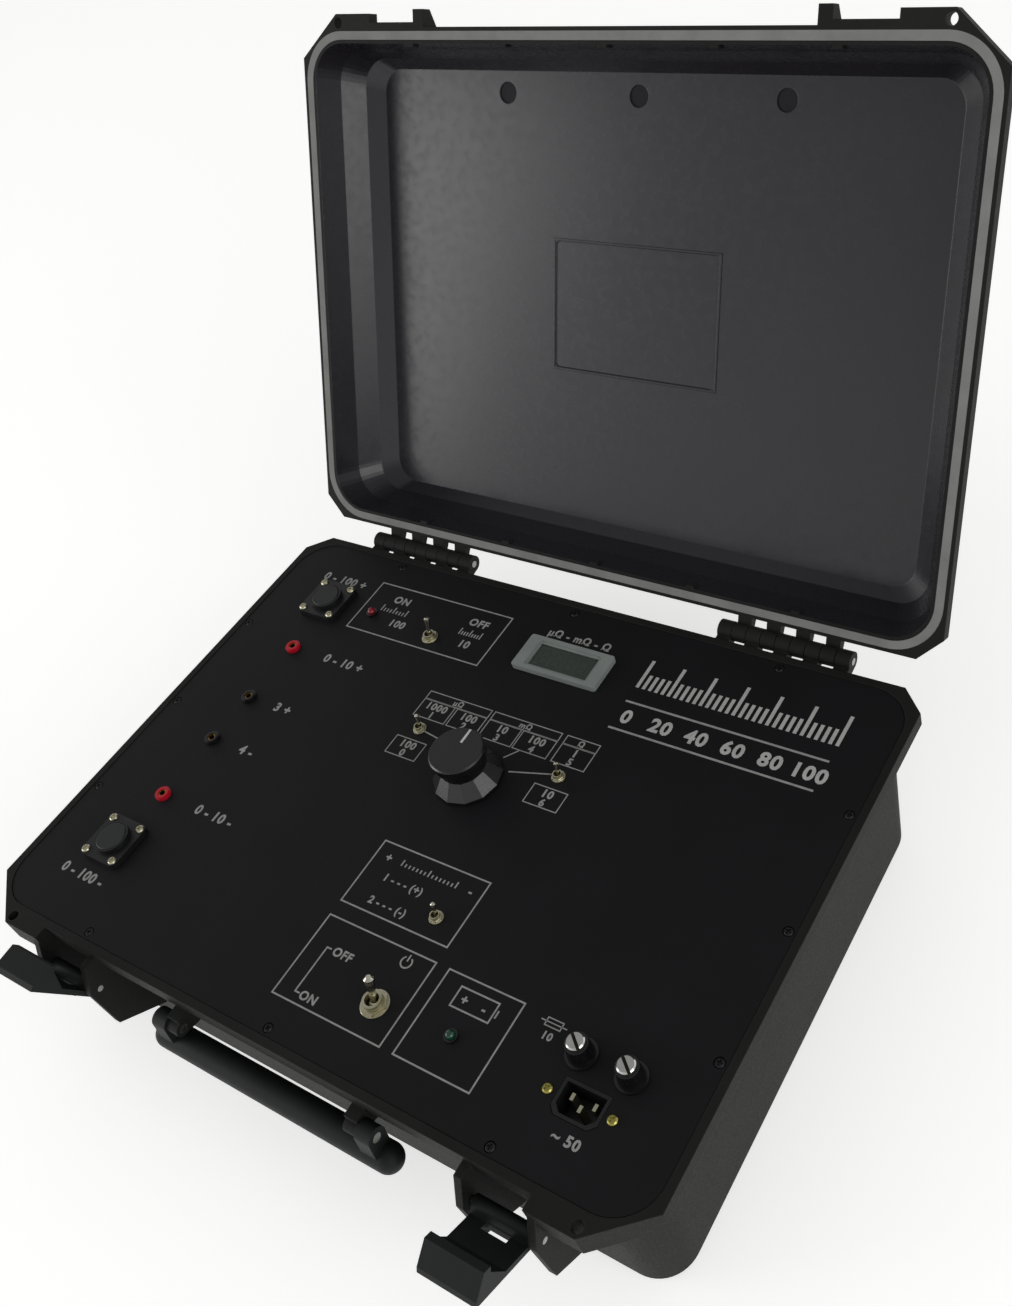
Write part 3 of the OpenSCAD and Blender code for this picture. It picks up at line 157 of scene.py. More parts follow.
class CaseSettings(bpy.types.PropertyGroup):
    """Colours and edges of the moulded case."""
    shell: colour_property("Shell", "Colour of the grained outside of both shells", "181a17")
    shell_pale: colour_property("Shell, paler", "Colour where the shell's grain is rubbed paler", "1e201d")
    lid_inside: colour_property("Lid inside", "Colour of the smooth inside of the lid", "242227")
    gasket: colour_property("Seal", "Colour of the foam seal in the lid's rim", "8e8e8c")
    fittings: colour_property("Latches and handle", "Colour of the latches and the handle", "161818")
    edge: length_property("Edge radius", "Radius to which moulded edges are rounded", 0.8, 0.1, 2.0)
    grain: length_property("Grain", "Width of one grain of the moulded surface", 1.1, 0.3, 3.0)


class PanelSettings(bpy.types.PropertyGroup):
    """Colours and sizes of the panel and its print."""
    coat: colour_property("Coat", "Colour of the panel's satin coat", "131315")
    ink: colour_property("Ink", "Colour of the printed marks", "a3a3a1")
    bright_ink: colour_property("Bright ink", "Colour of the large printed scale", "bebebc")
    bezel: colour_property("Bezel", "Colour of the meter's bezel", "8b918e")
    display: colour_property("Display", "Colour of the blank display", "4d554d")
    red: colour_property("Red", "Colour of the red sockets", "c21128")
    nickel: colour_property("Nickel", "Colour of the nickel plated nuts", "cfcbb2")
    line: length_property("Line width", "Width of a printed line", 1.0, 0.3, 2.0)
    ink_height: length_property("Ink height", "Height of the print above the coat", 0.06, 0.02, 0.2)
    cap: length_property("Letter height", "Height of the figures beside the sockets", 7.2, 3.0, 10.0)


class StageSettings(bpy.types.PropertyGroup):
    """Camera, floor and light."""
    camera_place: FloatVectorProperty(name="Camera", description="Place of the camera", subtype="TRANSLATION",
                                      unit="LENGTH", size=3, default=(0.4923, -0.3135, 0.7644))
    lens: FloatProperty(name="Lens", description="Focal length on a 36 mm sensor, in millimetres",
                        default=37.15, min=10.0, max=200.0)
    floor: colour_property("Floor", "Colour of the floor", "e8e8e6")
    key: FloatProperty(name="Key lamp", description="Power of the soft lamp at the front left",
                       subtype="POWER", unit="POWER", default=20.0, min=0.0, max=500.0)
    fill: FloatProperty(name="Fill lamp", description="Power of the soft lamp at the right",
                        subtype="POWER", unit="POWER", default=16.0, min=0.0, max=500.0)
    sky: FloatProperty(name="Room light", description="Strength of the even light of the room",
                       default=0.42, min=0.0, max=2.0)


def add_node(tree, kind, sockets=None, **fields):
    """Adds a node: fields are its options, and sockets holds a value or a link for each input."""
    node = tree.nodes.new(kind)
    for field, value in fields.items():
        setattr(node, field, value)
    for socket, value in (sockets or {}).items():
        if isinstance(value, bpy.types.NodeSocket):
            tree.links.new(value, node.inputs[socket])
        else:
            node.inputs[socket].default_value = value
    return node


def seen_rays(tree):
    """A socket that is 1 for rays that show a surface: straight, mirrored or through glass."""
    rays = add_node(tree, "ShaderNodeLightPath").outputs
    seen = add_node(tree, "ShaderNodeMath", {0: rays["Is Camera Ray"], 1: rays["Is Glossy Ray"]},
                    operation="MAXIMUM").outputs[0]
    return add_node(tree, "ShaderNodeMath", {0: seen, 1: rays["Is Transmission Ray"]},
                    operation="MAXIMUM").outputs[0]


def finish(name, colours, roughness, blotch_mm=40.0, grain_mm=1.0, depth_mm=0.01,
           stretch=(1.0, 1.0, 1.0), edge=0.0, worn=None, sockets=None):
    """A procedural material: two colours in soft blotches, a grain that roughens and raises the surface,
    edges rounded to a radius and, with a worn colour, rubbed paler along them."""
    material = bpy.data.materials.get(name)
    if material:
        return material
    material = bpy.data.materials.new(name)
    material.use_nodes = True
    tree = material.node_tree
    shader = tree.nodes["Principled BSDF"]
    place = add_node(tree, "ShaderNodeTexCoord").outputs["Object"]
    place = add_node(tree, "ShaderNodeMapping", {"Vector": place, "Scale": stretch}).outputs[0]
    blotch = add_node(tree, "ShaderNodeTexNoise",
                      {"Vector": place, "Scale": 1 / (blotch_mm * MM), "Detail": 5.0}).outputs[0]
    blotch = add_node(tree, "ShaderNodeMapRange",
                      {"Value": blotch, "From Min": 0.35, "From Max": 0.65}).outputs[0]
    first, second = (linear(c) if isinstance(c, str) else tuple(c) for c in colours)
    colour = add_node(tree, "ShaderNodeMix", {0: blotch, 6: first, 7: second}, data_type="RGBA").outputs[2]
    grain = add_node(tree, "ShaderNodeTexNoise",
                     {"Vector": place, "Scale": 1 / (grain_mm * MM), "Detail": 3.0}).outputs[0]
    shine = add_node(tree, "ShaderNodeMapRange", {"Value": grain, "From Min": 0.3, "From Max": 0.7,
                                                  "To Min": roughness[0], "To Max": roughness[1]}).outputs[0]
    bump = {"Height": grain, "Distance": depth_mm * MM, "Strength": 1.0}
    if edge:
        rounded = add_node(tree, "ShaderNodeBevel", {"Radius": edge}, samples=6).outputs[0]
        bump["Normal"] = rounded
        if worn:
            flat = add_node(tree, "ShaderNodeNewGeometry").outputs["Normal"]
            turn = add_node(tree, "ShaderNodeVectorMath", {0: rounded, 1: flat},
                            operation="DOT_PRODUCT").outputs["Value"]
            rub = add_node(tree, "ShaderNodeMapRange",
                           {"Value": turn, "From Min": 0.99, "From Max": 0.8}).outputs[0]
            rub = add_node(tree, "ShaderNodeMath", {0: rub, 1: blotch}, operation="MULTIPLY").outputs[0]
            colour = add_node(tree, "ShaderNodeMix", {0: rub, 6: colour, 7: linear(worn)},
                              data_type="RGBA").outputs[2]
    normal = add_node(tree, "ShaderNodeBump", bump).outputs[0]
    tree.links.new(colour, shader.inputs["Base Color"])
    tree.links.new(shine, shader.inputs["Roughness"])
    tree.links.new(normal, shader.inputs["Normal"])
    for socket, value in (sockets or {}).items():
        shader.inputs[socket].default_value = value
    return material


def dress(node, *materials, inside=None):
    """Gives a CAD node its finishes; inside gives a face's place in their row, the first if left out."""
    thing = frame["nodes"][node]
    thing.data.materials.clear()
    for material in materials:
        thing.data.materials.append(material)
    for face in thing.data.polygons:
        face.material_index = int(inside(face)) if inside else 0


def weld(thing):
    """Joins the corners that the import leaves split, as the next modifiers need."""
    modifier = thing.modifiers.new("joined corners", "WELD")
    modifier.merge_threshold = 0.002 * MM


def round_edges(node, radius_mm, turn=35.0, segments=2):
    """Rounds the sharp edges of a CAD node in its shape."""
    thing = frame["nodes"][node]
    weld(thing)
    modifier = thing.modifiers.new("rounded edges", "BEVEL")
    modifier.width = radius_mm * MM
    modifier.segments = segments
    modifier.limit_method = "ANGLE"
    modifier.angle_limit = math.radians(turn)
    modifier.use_clamp_overlap = True
    modifier.harden_normals = False


def piece(name, mesh, material, body, place=Matrix()):
    """Links a finished bmesh in millimetres as a piece that rides on a body."""
    data = bpy.data.meshes.new(name)
    bmesh.ops.remove_doubles(mesh, verts=mesh.verts, dist=0.0005)
    bmesh.ops.scale(mesh, vec=(MM, MM, MM), verts=mesh.verts)
    bmesh.ops.transform(mesh, matrix=place, verts=mesh.verts)
    bmesh.ops.recalc_face_normals(mesh, faces=mesh.faces)
    mesh.to_mesh(data)
    mesh.free()
    thing = bpy.data.objects.new(name, data)
    bpy.context.scene.collection.objects.link(thing)
    data.materials.append(material)
    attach(thing, body)


def band(mesh, points, width, base, height, closed=False):
    """Adds a line of even width and height through points in the plan, with mitred corners."""
    points = [Vector(p) for p in points]
    count = len(points)
    loops = []
    for i, point in enumerate(points):
        before = points[i - 1] if closed or i else None
        after = points[(i + 1) % count] if closed or i < count - 1 else None
        first = (point - before).normalized() if before else (after - point).normalized()
        last = (after - point).normalized() if after else first
        side = Vector((-(first + last).y, (first + last).x)).normalized()
        reach = width / 2 / max(0.3, side.dot(Vector((-first.y, first.x))))
        corners = [point + side * reach, point - side * reach]
        loops.append([mesh.verts.new((c.x, c.y, z)) for z in (base, base + height) for c in corners])
    for i in range(count if closed else count - 1):
        a, b = loops[i], loops[(i + 1) % count]
        for p, q in ((0, 1), (1, 3), (3, 2), (2, 0)):
            mesh.faces.new((a[p], a[q], b[q], b[p]))
    if not closed:
        for end in (loops[0], loops[-1]):
            mesh.faces.new((end[0], end[1], end[3], end[2]))


def box_points(x0, y0, x1, y1):
    """Corners of a rectangle in the plan."""
    return [(x0, y0), (x1, y0), (x1, y1), (x0, y1)]


def arc_points(x, y, radius, start, end, count):
    """Points of an arc in the plan, from one angle to another in degrees."""
    steps = [math.radians(start + (end - start) * i / (count - 1)) for i in range(count)]
    return [(x + radius * math.cos(a), y + radius * math.sin(a)) for a in steps]


CAP_SHARE = 0.727


def letters(mesh, text, x, y, cap, base, height, boldness=0.05, spacing=1.12):
    """Adds figures or signs of a cap height, centred on a point in the plan."""
    curve = bpy.data.curves.new("letters", "FONT")
    curve.body = text
    curve.align_x = "CENTER"
    curve.size = cap / CAP_SHARE
    curve.extrude = height / 2
    curve.offset = boldness * cap
    curve.space_character = spacing
    curve.resolution_u = 3
    thing = bpy.data.objects.new("letters", curve)
    data = bpy.data.meshes.new_from_object(thing)
    data.transform(Matrix.Translation((x, y - cap / 2, base + height / 2)))
    mesh.from_mesh(data)
    bpy.data.objects.remove(thing)
    bpy.data.curves.remove(curve)
    bpy.data.meshes.remove(data)


def crosses(name, places, length, width, depth):
    """A hidden cutter with a cross for each screw at (x, y, top) in millimetres, each at its own turn."""
    turns = random.Random(5)
    mesh = bmesh.new()
    for x, y, top in places:
        turn = turns.uniform(0.0, 90.0)
        for quarter in (0.0, 90.0):
            angle = math.radians(turn + quarter)
            dx = length / 2 * math.cos(angle)
            dy = length / 2 * math.sin(angle)
            band(mesh, [(x - dx, y - dy), (x + dx, y + dy)], width, top - depth, 2 * depth)
    bmesh.ops.scale(mesh, vec=(MM, MM, MM), verts=mesh.verts)
    bmesh.ops.recalc_face_normals(mesh, faces=mesh.faces)
    data = bpy.data.meshes.new(name)
    mesh.to_mesh(data)
    mesh.free()
    cutter = bpy.data.objects.new(name, data)
    bpy.context.scene.collection.objects.link(cutter)
    cutter.hide_render = True
    cutter.hide_viewport = True
    return cutter


def carve(node, cutter):
    """Cuts a hidden cutter out of a CAD node."""
    thing = frame["nodes"][node]
    weld(thing)
    modifier = thing.modifiers.new("recesses", "BOOLEAN")
    modifier.operation = "DIFFERENCE"
    modifier.solver = "EXACT"
    modifier.use_self = True
    modifier.object = cutter


def screw_places(node):
    """Middle and top of every separate screw of a CAD node, in millimetres."""
    found = []
    for vertex in frame["nodes"][node].data.vertices:
        x, y, z = vertex.co / MM
        for spot in found:
            if math.hypot(x - spot[0], y - spot[1]) < SCREW_APART:
                spot[2].append((x, y, z))
                break
        else:
            found.append([x, y, [(x, y, z)]])
    places = []
    for spot in found:
        xs, ys, zs = zip(*spot[2])
        places.append(((min(xs) + max(xs)) / 2, (min(ys) + max(ys)) / 2, max(zs)))
    return places


class OHMMETER_OT_case(bpy.types.Operator):
    """Finishes both shells, the seal and the hinge pins"""
    bl_idname = "ohmmeter.case"
    bl_label = "Case shells"

    def execute(self, context):
        case = context.scene.ohmmeter_case
        # Polypropylene, moulded against a spark-eroded tool: an even fine grain that scatters light
        # and rubs paler on edges. The real grain is about 0.3 mm and is drawn coarser so that it shows.
        grained = finish("moulded grained polypropylene", (case.shell, case.shell_pale), (0.55, 0.72),
                         blotch_mm=70, grain_mm=case.grain / MM, depth_mm=0.05, edge=case.edge, worn="30322f",
                         sockets={"IOR": 1.49, "Specular IOR Level": 0.18})
        # The same plastic from a polished core: smooth, so the room shows in it as a broad soft gloss.
        smooth = finish("moulded smooth polypropylene", (case.lid_inside, "28262b"), (0.22, 0.3),
                        blotch_mm=120, grain_mm=6.0, depth_mm=0.012, edge=case.edge,
                        sockets={"IOR": 1.49, "Specular IOR Level": 0.5})
        # Where the core's pins stood, the same plastic keeps their rough face: dull. Its darker colour is
        # painted shade on the floors of these dimples.
        dull = finish("moulded rough polypropylene with painted shade", ("1d1b1f", "222024"), (0.55, 0.68), blotch_mm=6,
                      grain_mm=0.9, depth_mm=0.04, sockets={"IOR": 1.49, "Specular IOR Level": 0.2})
        # Neoprene foam with a moulded skin: pale, dull, with faint pores about 1 mm wide.
        foam = finish("moulded neoprene foam", (case.gasket, "828381"), (0.75, 0.95),
                      blotch_mm=18, grain_mm=0.9, depth_mm=0.06, sockets={"IOR": 1.52})
        # Stainless steel, drawn: fine lines along the pin.
        steel = finish("drawn stainless steel", ("8f8f8b", "a2a29e"), (0.25, 0.42), grain_mm=0.5,
                       stretch=(0.05, 1.0, 1.0), sockets={"Metallic": 1.0})
        dress("base_shell", grained)
        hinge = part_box("hinge_pins")[0] + Vector((0.0, HINGE_PIN_R, HINGE_PIN_R)) * MM
        hinge.x = 0.0
        limits = [j["range_deg"] for j in frame["joints"] if j["name"] == "lid_hinge"][0]
        shut = Matrix.Rotation(math.radians(max(limits)), 4, "X")
        shut = Matrix.Translation(hinge) @ shut @ Matrix.Translation(-hinge)
        middle = Vector((0.0, 0.0, (LID_LOW + LINING_MIDDLE) * MM))

        def lining(face):
            """The place of a lid face's finish: 0 is the grained one, 1 the smooth one, 2 the dull one, whose
            darker colour is painted shade in the dimples.
            """
            point = shut @ face.center
            if point.z < (LID_LOW + LINING_START) * MM:
                return 0
            if abs(point.x) > MOUTH_X * MM or abs(point.y) > MOUTH_Y * MM:
                return 0
            if (shut.to_3x3() @ face.normal).dot(middle - point) <= 0:
                return 0
            # Faces on the dimples' floors take the darker rough finish: painted shade in the recesses.
            in_dimple = point.z > (LID_CEILING + DIMPLE_HALF_DEPTH) * MM and point.y < DIMPLE_LINE_Y * MM
            return 2 if in_dimple else 1

        dress("lid_shell", grained, smooth, dull, inside=lining)
        # A low bead frames the bare label field in the lid.
        mesh = bmesh.new()
        band(mesh, box_points(-LABEL_HALF_X, -LABEL_HALF_Y, LABEL_HALF_X, LABEL_HALF_Y), BEAD_WIDTH,
             LID_CEILING - BEAD_PROUD, BEAD_HEIGHT, closed=True)
        piece("label_bead", mesh, smooth, "lid", shut.inverted())
        dress("lid_gasket", foam)
        dress("hinge_pins", steel)
        return {"FINISHED"}


class OHMMETER_OT_latches(bpy.types.Operator):
    """Finishes the latches, the handle and their pins"""
    bl_idname = "ohmmeter.latches"
    bl_label = "Latches and handle"

    def execute(self, context):
        case = context.scene.ohmmeter_case
        # Glass-filled polyamide, moulded: darker and a little glossier than the shells.
        polyamide = finish("moulded filled polyamide", (case.fittings, "1b1d1d"), (0.5, 0.62), blotch_mm=30,
                           grain_mm=0.9, depth_mm=0.025, edge=case.edge / 2, worn="2e302e",
                           sockets={"IOR": 1.53, "Specular IOR Level": 0.2})
        for node in ("latch_left", "latch_right", "handle"):
            dress(node, polyamide)
        for node in ("latch_pins", "handle_pins"):
            dress(node, bpy.data.materials["drawn stainless steel"])
        return {"FINISHED"}


class OHMMETER_OT_panel(bpy.types.Operator):
    """Finishes the panel plate and its screws"""
    bl_idname = "ohmmeter.panel"
    bl_label = "Panel plate"

    def execute(self, context):
        panel = context.scene.ohmmeter_panel
        # Aluminium sheet, powder coated satin black: even, dull, with the coat's slight orange peel.
        coat = finish("powder coated aluminium", (panel.coat, "161518"), (0.5, 0.62), blotch_mm=60,
                      grain_mm=1.4, depth_mm=0.02, edge=0.3 * MM,
                      sockets={"IOR": 1.5, "Specular IOR Level": 0.18})
        # Steel, blackened by oxide: dark with a faint metal sheen on the rims.
        oxide = finish("black oxide steel", ("151517", "1e1e21"), (0.4, 0.55), grain_mm=0.5,
                       depth_mm=0.005, sockets={"Metallic": 0.4})
        dress("front_panel", coat)
        dress("panel_screws", oxide)
        carve("panel_screws", crosses("panel_screw_cutter", screw_places("panel_screws"),
                                      CROSS_LENGTH, CROSS_WIDTH, PANEL_CROSS_DEPTH))
        return {"FINISHED"}


class OHMMETER_OT_legends(bpy.types.Operator):
    """Prints the boxes, lines, figures and signs on the panel"""
    bl_idname = "ohmmeter.legends"
    bl_label = "Printed marks"

    def execute(self, context):
        panel = context.scene.ohmmeter_panel
        # Epoxy ink, screen printed: matt pale grey, a little thinner here and there.
        ink = finish("screen printed epoxy ink", (panel.ink, "949492"), (0.55, 0.7), blotch_mm=5,
                     grain_mm=0.8, depth_mm=0.004, sockets={"IOR": 1.5, "Specular IOR Level": 0.3})
        bright = finish("screen printed bright ink", (panel.bright_ink, "b2b2b0"), (0.55, 0.7), blotch_mm=6,
                        grain_mm=0.8, depth_mm=0.004, sockets={"IOR": 1.5, "Specular IOR Level": 0.3})
        line = panel.line / MM
        height = panel.ink_height / MM
        base = PANEL_TOP
        cap = panel.cap / MM

        def printed(name, boxes=(), lines=(), words=(), width=line, material=ink):
            mesh = bmesh.new()
            for box in boxes:
                band(mesh, box_points(*box), width, base, height, closed=True)
            for points in lines:
                band(mesh, points, width, base, height)
            for text, x, y, size in words:
                letters(mesh, text, x, y, size, base, height)
            piece(name, mesh, material, "case")

        def scale(x0, x1, y, ticks, short, tall, every):
            """Upright ticks of a plain scale, from a base line."""
            step = (x1 - x0) / ticks
            return [[(x0 + i * step, y), (x0 + i * step, y + (short if i % every else tall))]
                    for i in range(ticks + 1)]

        printed("marks_terminals", words=[
            ("0 - 100 +", -196.0, 143.6, cap), ("0 - 10 +", -140.8, 73.3, cap),
            ("3 +", -157.3, 22.8, cap), ("4 -", -157.3, -16.9, cap),
            ("0 - 10 -", -140.8, -68.3, cap), ("0 - 100 -", -197.8, -139.4, cap)])
        printed("marks_current", boxes=[(-163.3, 104.4, -41.7, 151.1)],
                lines=(scale(-147.0, -124.2, 126.4, 8, 3.2, 6.0, 4)
                       + scale(-73.0, -54.8, 125.6, 8, 3.2, 6.0, 4)),
                words=[("ON", -135.6, 139.6, 6.4), ("100", -125.0, 118.6, 6.4),
                       ("OFF", -63.3, 139.0, 6.4), ("10", -62.8, 118.6, 6.4)])
        printed("marks_meter", words=[("µΩ - mΩ - Ω", 16.8, 148.9, 6.2)])
        printed("marks_scale", lines=scale(77.0, 218.0, 124.6, 30, 12.0, 24.0, 5), width=2.4, material=bright)
        printed("marks_rules", lines=[[(75.6, 112.2), (218.6, 112.2)], [(75.6, 89.4), (218.6, 89.4)]],
                width=1.5)
        printed("marks_numbers", words=[(str(n * 20), 83.0 + 25.6 * n, 100.8, 10.5) for n in range(6)],
                material=bright)
        cells = [(-59.7, -33.6), (-31.4, -6.9), (-4.2, 21.9), (23.6, 50.0), (54.2, 79.2)]
        heads = [(-59.7, -6.9, "µΩ"), (-4.2, 50.0, "mΩ"), (54.2, 79.2, "Ω")]
        values = [("1000", "1"), ("100", "2"), ("10", "3"), ("100", "4"), ("1", "5")]
        range_boxes = [(a, 67.3, b, 73.9) for a, b, _ in heads] + [(a, 52.2, b, 66.9) for a, b in cells]
        range_words = [(t, (a + b) / 2, 70.6, 4.4) for a, b, t in heads]
        for (a, b), (upper, lower) in zip(cells, values):
            range_words += [(upper, (a + b) / 2, 62.9, 5.8), (lower, (a + b) / 2, 55.9, 5.4)]
        for a, b, upper, lower in ((-59.2, -34.2, "100", "0"), (54.2, 79.2, "10", "6")):
            range_boxes.append((a, 18.9, b, 33.6))
            range_words += [(upper, (a + b) / 2, 29.4, 5.8), (lower, (a + b) / 2, 22.5, 5.4)]
        printed("marks_ranges", boxes=range_boxes, words=range_words, width=line * 0.7)
        printed("marks_leads", lines=[[(-43.9, 42.8), (-28.6, 40.6)], [(63.0, 43.9), (32.5, 35.0)],
                                      [(29.7, 51.7), (22.8, 43.3)]])
        printed("marks_polarity", boxes=[(-13.3, -85.0, 69.2, -38.9)],
                lines=scale(8.0, 50.0, -50.4, 14, 2.4, 4.4, 7),
                words=[("+", -3.0, -48.3, 5.6), ("-", 61.0, -48.3, 5.6),
                       ("1 - - - (+)", 17.6, -60.6, 5.0), ("2 - - - (-)", 17.6, -76.9, 5.0)])
        printed("marks_power", boxes=[(-13.3, -151.1, 69.2, -95.6)],
                lines=[[(3.3, -114.2), (-0.3, -114.2), (-0.3, -144.7), (3.3, -144.7)],
                       arc_points(52.0, -102.6, 3.6, 125.0, 415.0, 25), [(52.0, -102.0), (52.0, -97.6)]],
                words=[("OFF", 12.2, -114.2, 5.6), ("ON", 10.4, -144.7, 5.6)])
        printed("marks_charging", boxes=[(78.9, -151.1, 131.9, -95.6), (92.0, -114.0, 118.6, -101.6)],
                lines=[[(120.6, -110.2), (120.6, -105.4)]],
                words=[("+", 98.4, -107.8, 5.6), ("-", 112.2, -107.8, 5.6)])
        printed("marks_fuses", boxes=[(148.4, -101.4, 158.4, -96.8)],
                lines=[[(145.0, -99.1), (161.8, -99.1)]], words=[("10", 153.4, -106.4, 4.6)],
                width=line * 0.7)
        printed("marks_inlet", words=[("~ 50", 192.8, -149.7, 6.0)])
        return {"FINISHED"}


class OHMMETER_OT_meter(bpy.types.Operator):
    """Finishes the meter and draws its unlit display"""
    bl_idname = "ohmmeter.meter"
    bl_label = "Panel meter"

    def execute(self, context):
        panel = context.scene.ohmmeter_panel
        # ABS, moulded satin: mid grey with a soft sheen and a fine grain.
        abs_grey = finish("moulded satin ABS", (panel.bezel, "858b88"), (0.4, 0.5), blotch_mm=15,
                          grain_mm=0.7, depth_mm=0.008, sockets={"IOR": 1.53})
        # ABS, moulded black, hardly seen.
        abs_black = finish("moulded black ABS", ("18191a", "202122"), (0.45, 0.6), grain_mm=0.8,
                           sockets={"IOR": 1.53})
        # Liquid crystal glass under its polariser: a flat green grey.
        crystal = finish("polarised display glass", (panel.display, "485049"), (0.3, 0.36), blotch_mm=22,
                         grain_mm=0.8, depth_mm=0.002, sockets={"IOR": 1.5})
        # The unlit figures of the display: only a little darker than its ground.
        ghost = finish("unlit display segments", ("3e453f", "3b423c"), (0.3, 0.36), depth_mm=0.001,
                       sockets={"IOR": 1.5})
        # Acrylic sheet, polished: clear, so it lets the light in to the display, with a weak reflection.
        clear = finish("polished acrylic", ("2c302d", "323633"), (0.04, 0.08), depth_mm=0.001,
                       sockets={"IOR": 1.49, "Alpha": 0.14})
        dress("meter_bezel", abs_grey)
        round_edges("meter_bezel", 0.5)
        dress("meter_module", abs_black, crystal,
              inside=lambda face: face.center.z > (LCD_FACE - DISPLAY_SLACK) * MM)
        dress("meter_window", clear)
        low, high = (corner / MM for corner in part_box("meter_window"))
        tall = (high.y - low.y) * FIGURE_TALL_SHARE
        wide = tall * FIGURE_WIDE_SHARE
        middle = (low.y + high.y) / 2
        mesh = bmesh.new()
        for i in range(4):
            x = low.x + (high.x - low.x) * (FIGURE_FIRST_SHARE + FIGURE_STEP_SHARE * i)
            left, right = x - wide / 2, x + wide / 2
            rows = [middle - tall / 2, middle, middle + tall / 2]
            bars = [[(left + BAR_GAP, y), (right - BAR_GAP, y)] for y in rows]
            bars += [[(side, rows[k] + BAR_GAP), (side, rows[k + 1] - BAR_GAP)]
                     for side in (left, right) for k in (0, 1)]
            point = right + POINT_OUT
            bars.append([(point, rows[0] - POINT_HALF), (point, rows[0] + POINT_HALF)])
            for bar in bars:
                band(mesh, bar, BAR_WIDTH, LCD_FACE, BAR_HEIGHT)
        piece("display_segments", mesh, ghost, "case")
        return {"FINISHED"}


class OHMMETER_OT_sockets(bpy.types.Operator):
    """Finishes the high-current sockets, their caps and the 4 mm jacks"""
    bl_idname = "ohmmeter.sockets"
    bl_label = "Sockets and jacks"

    def execute(self, context):
        panel = context.scene.ohmmeter_panel
        # Glass-filled polyamide, moulded black: dull, with a little sparkle of the filler.
        black = finish("moulded socket polyamide", ("101011", "151516"), (0.35, 0.5), blotch_mm=12,
                       grain_mm=0.7, depth_mm=0.015, sockets={"IOR": 1.53, "Specular IOR Level": 0.4})
        # Polyethylene, moulded: soft dark grey, a little waxy.
        waxy = finish("moulded polyethylene", ("1e2020", "232525"), (0.45, 0.55), blotch_mm=12,
                      grain_mm=1.0, depth_mm=0.01, sockets={"IOR": 1.51, "Specular IOR Level": 0.4})
        # Polyamide, moulded glossy in red and in black.
        red = finish("moulded glossy red polyamide", (panel.red, "b80f25"), (0.22, 0.3), blotch_mm=6,
                     grain_mm=0.8, depth_mm=0.004, sockets={"IOR": 1.53})
        gloss = finish("moulded glossy black polyamide", ("0e0e10", "121214"), (0.22, 0.3), blotch_mm=6,
                       grain_mm=0.8, depth_mm=0.004, sockets={"IOR": 1.53})
        # Brass, turned: warm metal with fine rings.
        brass = finish("turned brass", ("a8853f", "b8964f"), (0.25, 0.38), grain_mm=0.4,
                       stretch=(1.0, 1.0, 0.1), sockets={"Metallic": 1.0})
        # Brass, nickel plated: pale, slightly yellow metal, softly scratched by tumbling.
        nickel = finish("tumbled nickel plate", (panel.nickel, "c0bba0"), (0.24, 0.4), blotch_mm=4,
                        grain_mm=0.5, depth_mm=0.004, sockets={"Metallic": 1.0})
        dress("current_sockets", black)
        dress("socket_cap_front", waxy)
        dress("socket_cap_back", waxy)
        dress("socket_contacts", brass)
        dress("socket_screws", nickel)
        carve("socket_screws", crosses("socket_screw_cutter", screw_places("socket_screws"),
                                       CROSS_LENGTH, CROSS_WIDTH, SMALL_CROSS_DEPTH))
        dress("red_jacks", red)
        dress("black_jacks", gloss)
        dress("jack_contacts", brass)
        dress("jack_nuts", nickel)
        return {"FINISHED"}


class OHMMETER_OT_range_knob(bpy.types.Operator):
    """Finishes the range switch with its knob and pointer line"""
    bl_idname = "ohmmeter.range_knob"
    bl_label = "Range knob"

    def execute(self, context):
        # Phenolic, moulded from a polished tool: deep black, its flats catch the light.
        phenolic = finish("moulded polished phenolic", ("0e0e10", "121214"), (0.26, 0.36), blotch_mm=20,
                          grain_mm=1.0, depth_mm=0.006, edge=0.35 * MM, sockets={"IOR": 1.6})
        # Paint, filled into the knob's groove: matt white.
        paint = finish("filled white paint", ("d9d9d5", "cfcfca"), (0.5, 0.6), blotch_mm=3,
                       sockets={"IOR": 1.5})
        # Paper-filled phenolic sheet, punched: dull cream, under the panel.
        sheet = finish("punched phenolic sheet", ("cbbf9a", "d6cbaa"), (0.5, 0.65), sockets={"IOR": 1.55})
        dress("range_knob", phenolic)
        dress("knob_pointer", paint)
        dress("range_switch_body", sheet)
        for node in ("range_switch_nut", "range_switch_shaft"):
            dress(node, bpy.data.materials["tumbled nickel plate"])
        return {"FINISHED"}


